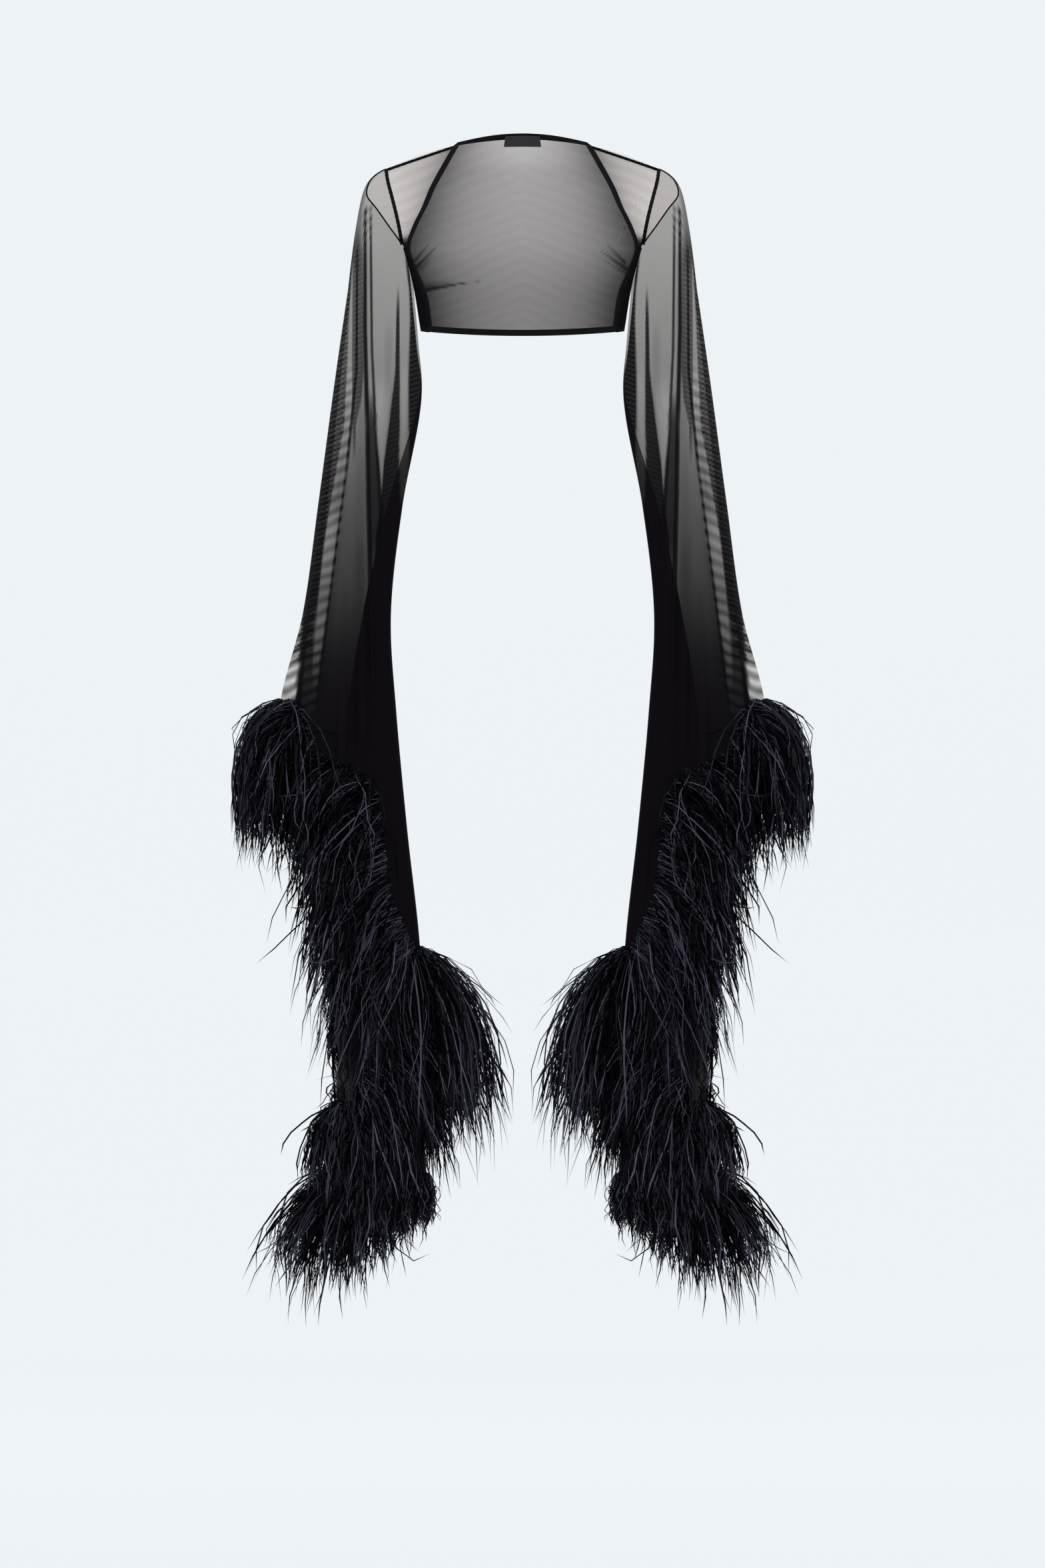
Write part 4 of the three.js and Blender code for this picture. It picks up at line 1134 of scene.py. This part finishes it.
def barb_courses(root, spring, length, droop, curl, steps):
    """Courses of barbs that spring out of the trim and bend down under their weight."""
    points = [root]
    down = np.array([0, 0, -1.0])
    for k in range(steps):
        t = (k + 0.5) / steps
        give = np.clip(droop * t**0.85, 0, 0.97)[:, None]
        way = unit(spring * (1 - give) + down * give + curl * t**1.5)
        points.append(points[-1] + way * (length / steps)[:, None])
    return np.stack(points, 1)


def brushed(course, random):
    """Courses drawn in toward their roots where they would pass the trim's bounds."""
    slack = random.uniform(0, BRUSHED["loose"], len(course))
    for axis, low, high in ((0, "inner", "outer"), (1, "front", "back")):
        root = course[:, 0, axis]
        out = course[..., axis].max(1) - root
        back = root - course[..., axis].min(1)
        keep = np.minimum(np.maximum(BRUSHED[high] - slack - root, 1) / np.maximum(out, 1),
                          np.maximum(root - BRUSHED[low] - slack, 1) / np.maximum(back, 1))
        keep = np.clip(keep, 0, 1)[:, None]
        course[..., axis] = root[:, None] + (course[..., axis] - root[:, None]) * keep
    return course


def plumes(part, number, barbs, places, random):
    """Courses of every barb of one stretch of trim, and their tones, whose few light ones are
    partly painted highlights.
    """
    def vary(name, *size):
        return random.uniform(*VARY[name], size)

    look = bpy.context.scene.shrug_feather
    whole = part["reached"][-1]
    fine = np.linspace(0, 1, 300)
    usual = {name: np.interp(fine, places["at"], values) for name, values in places.items()}
    share = np.cumsum(usual["amount"]) / usual["amount"].sum()
    spot = np.interp((np.arange(number) + vary("place", number)) / number, share, fine)
    here = {name: np.interp(spot, fine, values) for name, values in usual.items()}
    spread = np.clip(here["spread"] * vary("spread", number), 0.05, 1)[:, None]
    lean = here["lean"] + random.normal(0, LEAN_SPREAD, number)
    reach = here["length"] * vary("reach", number)
    droop = here["droop"] * vary("droop", number)
    point, along, away, fan = (at_length(part, name, spot * whole)
                               for name in ("point", "along", "away", "fan"))
    away[:, 0] *= here["side"]
    heart = unit(away * (1 - spread) + fan * spread + along * lean[:, None])
    centre = barb_courses(point, heart, reach, droop, np.zeros((number, 3)), look.steps)
    # the barbs of a plume start beside it and keep near its course
    of = random.integers(0, number, barbs)
    at = np.clip(spot[of] * whole + random.normal(0, ROOT_SPREAD, barbs), 1, whole - 1)
    root = at_length(part, "point", at) + at_length(part, "away", at) * vary("root", barbs, 1)
    root = root + at_length(part, "fan", at) * vary("fan", barbs, 1)
    stray = random.random(barbs) < look.stray_share
    scatter = np.where(stray, STRAY_SCATTER, SCATTER)[:, None]
    spring = heart[of] + scatter * random.normal(0, 1, (barbs, 3)) * SCATTER_AXES
    ceiling = np.where(stray, STRAY_CEILING, 0.0) + vary("ceiling", barbs) - here["fall"][of]
    spring[:, 2] = np.minimum(spring[:, 2], ceiling)
    length, sag = (usual_one * np.where(stray, vary(f"stray_{name}", barbs), vary(name, barbs))
                   for name, usual_one in (("length", reach[of]), ("sag", droop[of])))
    curl = random.normal(0, CURL, (barbs, 3)) * np.where(stray, STRAY_CURL, 1.0)[:, None]
    course = barb_courses(root, unit(spring), length, sag, curl, look.steps)
    t = np.linspace(0, 1, look.steps + 1)[None, :, None]
    pull = np.where(stray, 0.0, vary("pull", barbs))[:, None, None]
    middle = centre[of]
    goal = middle[:, :1] + (middle - middle[:, :1]) * (length / reach[of])[:, None, None]
    course = course + (goal - course) * pull * t**PULL_GROWS
    # each barb wavers on its way, as ostrich does
    turns, start = vary("turns", barbs, 1, 3), vary("start", barbs, 1, 3)
    wave = np.sin(t * turns * 2 * math.pi + start) - np.sin(start)
    course = course + wave * vary("wave", barbs, 1, 1) * WAVE_AXES * t**WAVE_GROWS
    # a few light barbs among the near-black ones: partly the feathers' navy, partly painted
    # highlights
    tone = np.clip(vary("tone", number)[of] + random.random(barbs) ** 4, 0, 1) ** 1.3
    return brushed(course, random), tone, stray


def barb_mesh(course, width, stray, random):
    """Thin three-sided spindles along their courses, closed at both ends."""
    barbs, rings = course.shape[:2]
    way = unit(np.gradient(course, axis=1))
    side = unit(np.cross(way, unit(random.normal(0, 1, (barbs, 1, 3)))))
    flat = np.cross(way, side)
    size = width / 2 * np.interp(np.linspace(0, 1, rings), *BARB_TAPER)[None, :, None]
    size = size * random.uniform(*VARY["width"], (barbs, 1, 1))
    size = size * np.where(stray, STRAY_WIDTH, 1.0)[:, None, None]
    corners = [course + side * size * np.cos(turn) + flat * size * BARB_FLATNESS * np.sin(turn)
               for turn in np.radians((0, 120, 240))]
    body = np.stack(corners, 2)[:, :-1].reshape(barbs, -1, 3)
    points = np.concatenate([body, course[:, -1:]], 1)
    tip = (rings - 1) * 3
    faces = [[2, 1, 0], *tube_faces(rings - 1, 3),
             *([tip - 3 + k, tip - 3 + (k + 1) % 3, tip] for k in range(3))]
    each = points.shape[1]
    return points.reshape(-1, 3), repeat(faces, barbs, each), each


def backing_tape(part):
    """The narrow tape that the feathers are sewn into, just past the hem."""
    at = np.linspace(0.8, part["reached"][-1] - 0.8, BACKING_RINGS)
    point, away = at_length(part, "point", at), unit(at_length(part, "away", at))
    thick = unit(np.cross(unit(at_length(part, "along", at)), away)) * BACKING_THICKNESS / 2
    near, far = point + away * BACKING_GAP, point + away * (BACKING_GAP + BACKING_WIDTH)
    rings = np.stack([near + thick, near - thick, far - thick, far + thick], 1)
    last = 4 * BACKING_RINGS - 4
    faces = [[0, 1, 2, 3], [last + 3, last + 2, last + 1, last],
             *([b, a, d, c] for a, b, c, d in tube_faces(BACKING_RINGS, 4))]
    return rings.reshape(-1, 3), faces


def make_feathers():
    look = bpy.context.scene.shrug_feather
    hem, folds = hem_facts()
    for seed, (name, start, end, number, barbs, places) in enumerate(TRIMS, 100):
        random = np.random.default_rng(seed)
        part = hem_stretch(hem, folds[start], folds[end])
        course, tone, stray = plumes(part, number, barbs, places, random)
        points, faces, each = barb_mesh(course, look.barb_width / MM, stray, random)
        tape, tape_faces = backing_tape(part)
        faces += [[vertex + len(points) for vertex in face] for face in tape_faces]
        piece = mesh_piece(f"plumes_{name}_right", np.concatenate([points, tape]), faces)
        tones_and_highlights = np.concatenate([np.repeat(tone, each), np.zeros(len(tape))])
        add_attribute(piece, "tone", tones_and_highlights)
        both_sides(piece, "feather", f"feather_{name}")


FLOOR_DROP, FLOOR_HALF, WALL_BACK, WALL_HEIGHT, SWEEP = 1.72, 130.0, 110.0, 40.0, 1.6
PHOTO_WIDTH, MM_PER_PIXEL = 1568, 0.93
VIEW_MIDDLE_DROP, CAMERA_AWAY, CAMERA_REACH, SENSOR = 904, 40.0, 500, 36.0
SOFTBOX, FILL_SHARE = (2.6, 3.4), 0.7


def make_backdrop(look):
    """A pale floor that sweeps up into the wall behind."""
    start_fresh()
    middle = (0, WALL_BACK - FLOOR_HALF, -FLOOR_DROP)
    bpy.ops.mesh.primitive_plane_add(size=2 * FLOOR_HALF, location=middle)
    sweep = bpy.context.object
    sweep.name = sweep.data.name = "studio_sweep"
    bpy.ops.object.transform_apply(location=True, rotation=False, scale=False)
    bpy.ops.object.mode_set(mode="EDIT")
    bpy.ops.mesh.select_all(action="DESELECT")
    bpy.ops.object.mode_set(mode="OBJECT")
    for edge in sweep.data.edges:
        ends = [sweep.data.vertices[vertex].co.y for vertex in edge.vertices]
        edge.select = min(ends) > WALL_BACK - 0.01
    bpy.ops.object.mode_set(mode="EDIT")
    bpy.ops.mesh.select_mode(type="EDGE")
    bpy.ops.mesh.extrude_region_move(TRANSFORM_OT_translate={"value": (0, 0, WALL_HEIGHT)})
    bpy.ops.object.mode_set(mode="OBJECT")
    apply_modifier(sweep, "BEVEL", width=SWEEP, segments=24, limit_method="ANGLE")
    sweep.data.shade_smooth()
    paint = Paint("pale_studio", Roughness=0.9, Specular_IOR_Level=0.0,
                  Emission_Strength=look.glow, Emission_Color=(*look.color, 1))
    pale = [look.softness * c for c in look.color]
    paint.color(paint.noise(paint.spot(), 0.8, 1.0), pale, [0.97 * c for c in pale])
    sweep.data.materials.append(paint.material)


def add_lamp(name, place, aim, power):
    """A rectangular softbox that shines at a point."""
    light = bpy.data.lights.new(name, "AREA")
    light.shape = "RECTANGLE"
    light.size, light.size_y = SOFTBOX
    light.energy = power
    lamp = link(name, light)
    lamp.location = place
    lamp.rotation_euler = (Vector(aim) - Vector(place)).to_track_quat("-Z", "Y").to_euler()


def make_stage():
    look = bpy.context.scene.shrug_stage
    make_backdrop(look)
    world = bpy.data.worlds.new("studio")
    bpy.context.scene.world = world
    world.use_nodes = True
    sky = world.node_tree.nodes["Background"]
    sky.inputs["Color"].default_value = (*look.color, 1)
    sky.inputs["Strength"].default_value = look.sky
    add_lamp("key_softbox", (-4.0, -6.5, 1.6), (0, 0, -0.8), look.key)
    add_lamp("fill_softbox", (4.4, -6.0, 0.2), (0, 0, -0.9), look.key * FILL_SHARE)
    camera = bpy.data.cameras.new("front_camera")
    camera.sensor_fit = "HORIZONTAL"
    camera.sensor_width = SENSOR
    camera.lens = SENSOR * CAMERA_AWAY / (PHOTO_WIDTH * MM_PER_PIXEL * MM)
    camera.clip_end = CAMERA_REACH
    view = link("front_camera", camera)
    view.location = (0, -CAMERA_AWAY, -VIEW_MIDDLE_DROP * MM)
    view.rotation_euler = (math.radians(90), 0, 0)
    bpy.context.scene.camera = view
    bpy.context.scene.view_settings.view_transform = "Standard"


def color_property(name, description, default):
    return bpy.props.FloatVectorProperty(name=name, description=description, default=default,
                                         size=3, min=0, max=1, subtype="COLOR")


def number_property(name, description, default, low, high, **kind):
    return bpy.props.FloatProperty(name=name, description=description, default=default, min=low,
                                   max=high, **kind)


def length_property(*facts):
    return number_property(*facts, subtype="DISTANCE", unit="LENGTH")


class ShrugNet(bpy.types.PropertyGroup):
    """Sizes and colours of the cloth."""
    color: color_property("Net", "Colour of the net where it lies close", (0.005, 0.0038, 0.0055))
    light_through: color_property(
        "Light through", "Colour of the light that the net lets pass", (1.0, 0.974, 0.952))
    light_through_back: color_property(
        "Light through the back", "The same for the single layer of the back", (1.0, 0.925, 0.9))
    color_deep: color_property(
        "Deep net", "Colour of the net in its darker patches", (0.0018, 0.0013, 0.002))
    binding_color: color_property(
        "Binding", "Colour of the folded edges", (0.0095, 0.0095, 0.012))
    label_color: color_property("Label", "Colour of the bare label", (0.03, 0.03, 0.035))
    mesh_pitch: length_property(
        "Mesh pitch", "Width of one hole and thread of the net", 0.0011, 0.0004, 0.01)
    ripple_pitch: length_property(
        "Ripple pitch", "Distance between ripple bars", 0.017, 0.004, 0.1)
    shimmer_pitch: length_property(
        "Shimmer pitch", "Distance between the finer bars", 0.0068, 0.002, 0.1)
    thread_pitch: length_property(
        "Thread pitch", "Distance between the label's threads", 0.0007, 0.0002, 0.01)


class ShrugFeather(bpy.types.PropertyGroup):
    """Sizes and colours of the feather trim."""
    color_deep: color_property(
        "Deep feather", "Colour of the darkest barbs", (0.0003, 0.0002, 0.0007))
    # the light barbs' colour is partly their navy and partly a painted highlight standing in for
    # the soft light's gleam
    color_blue_and_highlight: color_property(
        "Light feather", "Colour of the bluest barbs", (0.12, 0.116, 0.162))
    barb_width: length_property(
        "Barb width", "Width of a barb at its middle", 0.0027, 0.0003, 0.01)
    steps: bpy.props.IntProperty(
        name="Steps", description="Straight steps in a barb", default=6, min=3, max=8)
    stray_share: number_property(
        "Stray barbs", "Share of barbs that stand away", 0.1, 0, 1, subtype="FACTOR")


class ShrugStage(bpy.types.PropertyGroup):
    """The plain pale studio."""
    color: color_property("Studio", "Colour of the floor and wall", (0.847, 0.887, 0.913))
    softness: number_property(
        "Shadow softness", "How pale the floor is under the lights", 0.1, 0, 1, subtype="FACTOR")
    glow: number_property("Glow", "Light that the floor and wall give off", 0.918, 0, 2)
    sky: number_property("Sky", "Strength of the light all round", 0.94, 0, 3)
    key: number_property(
        "Key light", "Power of the key softbox", 70, 0, 2000, subtype="POWER", unit="POWER")


class SHRUG_OT_back(bpy.types.Operator):
    """Lay the back panel"""
    bl_idname = "shrug.back_panel"
    bl_label = "Back panel"

    def execute(self, context):
        make_back_panel()
        return {"FINISHED"}


class SHRUG_OT_fronts(bpy.types.Operator):
    """Lay the two front panels"""
    bl_idname = "shrug.front_panels"
    bl_label = "Front panels"

    def execute(self, context):
        make_front_panels()
        return {"FINISHED"}


class SHRUG_OT_sleeves(bpy.types.Operator):
    """Hang the two sleeves in their folds"""
    bl_idname = "shrug.sleeves"
    bl_label = "Sleeves"

    def execute(self, context):
        make_sleeves()
        return {"FINISHED"}


class SHRUG_OT_bindings(bpy.types.Operator):
    """Fold the bindings round the edges and stitch them"""
    bl_idname = "shrug.bindings"
    bl_label = "Bindings"

    def execute(self, context):
        make_bindings()
        return {"FINISHED"}


class SHRUG_OT_label(bpy.types.Operator):
    """Sew in the bare label"""
    bl_idname = "shrug.label"
    bl_label = "Label"

    def execute(self, context):
        make_label()
        return {"FINISHED"}


class SHRUG_OT_seams(bpy.types.Operator):
    """Draw the armhole, shoulder and side seams"""
    bl_idname = "shrug.seams"
    bl_label = "Seams"

    def execute(self, context):
        make_seams()
        return {"FINISHED"}


class SHRUG_OT_feathers(bpy.types.Operator):
    """Sew the feather trim along the sleeve hems"""
    bl_idname = "shrug.feathers"
    bl_label = "Feathers"

    def execute(self, context):
        make_feathers()
        return {"FINISHED"}


class SHRUG_OT_stage(bpy.types.Operator):
    """Set up the floor, lights and camera"""
    bl_idname = "shrug.stage"
    bl_label = "Stage"

    def execute(self, context):
        make_stage()
        return {"FINISHED"}


OPERATORS = (
    SHRUG_OT_back, SHRUG_OT_fronts, SHRUG_OT_sleeves, SHRUG_OT_bindings,
    SHRUG_OT_label, SHRUG_OT_seams, SHRUG_OT_feathers, SHRUG_OT_stage,
)


class SHRUG_PT_panel(bpy.types.Panel):
    """The shrug's pieces and their sizes"""
    bl_label = "Feather Shrug"
    bl_idname = "SHRUG_PT_panel"
    bl_space_type = "VIEW_3D"
    bl_region_type = "UI"
    bl_category = "Feather Shrug"

    def draw(self, context):
        for operator in OPERATORS:
            self.layout.operator(operator.bl_idname)
        for group_name, group in GROUPS.items():
            box = self.layout.box()
            for name in group.__annotations__:
                box.prop(getattr(context.scene, group_name), name)


GROUPS = {"shrug_net": ShrugNet, "shrug_feather": ShrugFeather, "shrug_stage": ShrugStage}


def register():
    for cls in (*GROUPS.values(), *OPERATORS, SHRUG_PT_panel):
        bpy.utils.register_class(cls)
    for name, group in GROUPS.items():
        setattr(bpy.types.Scene, name, bpy.props.PointerProperty(type=group))


def unregister():
    for name in GROUPS:
        delattr(bpy.types.Scene, name)
    for cls in (SHRUG_PT_panel, *reversed(OPERATORS), *GROUPS.values()):
        bpy.utils.unregister_class(cls)


def main():
    register()
    bpy.ops.shrug.back_panel()
    bpy.ops.shrug.front_panels()
    bpy.ops.shrug.sleeves()
    bpy.ops.shrug.bindings()
    bpy.ops.shrug.label()
    bpy.ops.shrug.seams()
    bpy.ops.shrug.feathers()
    bpy.ops.shrug.stage()
    bpy.context.view_layer.update()


if __name__ == "__main__":
    main()
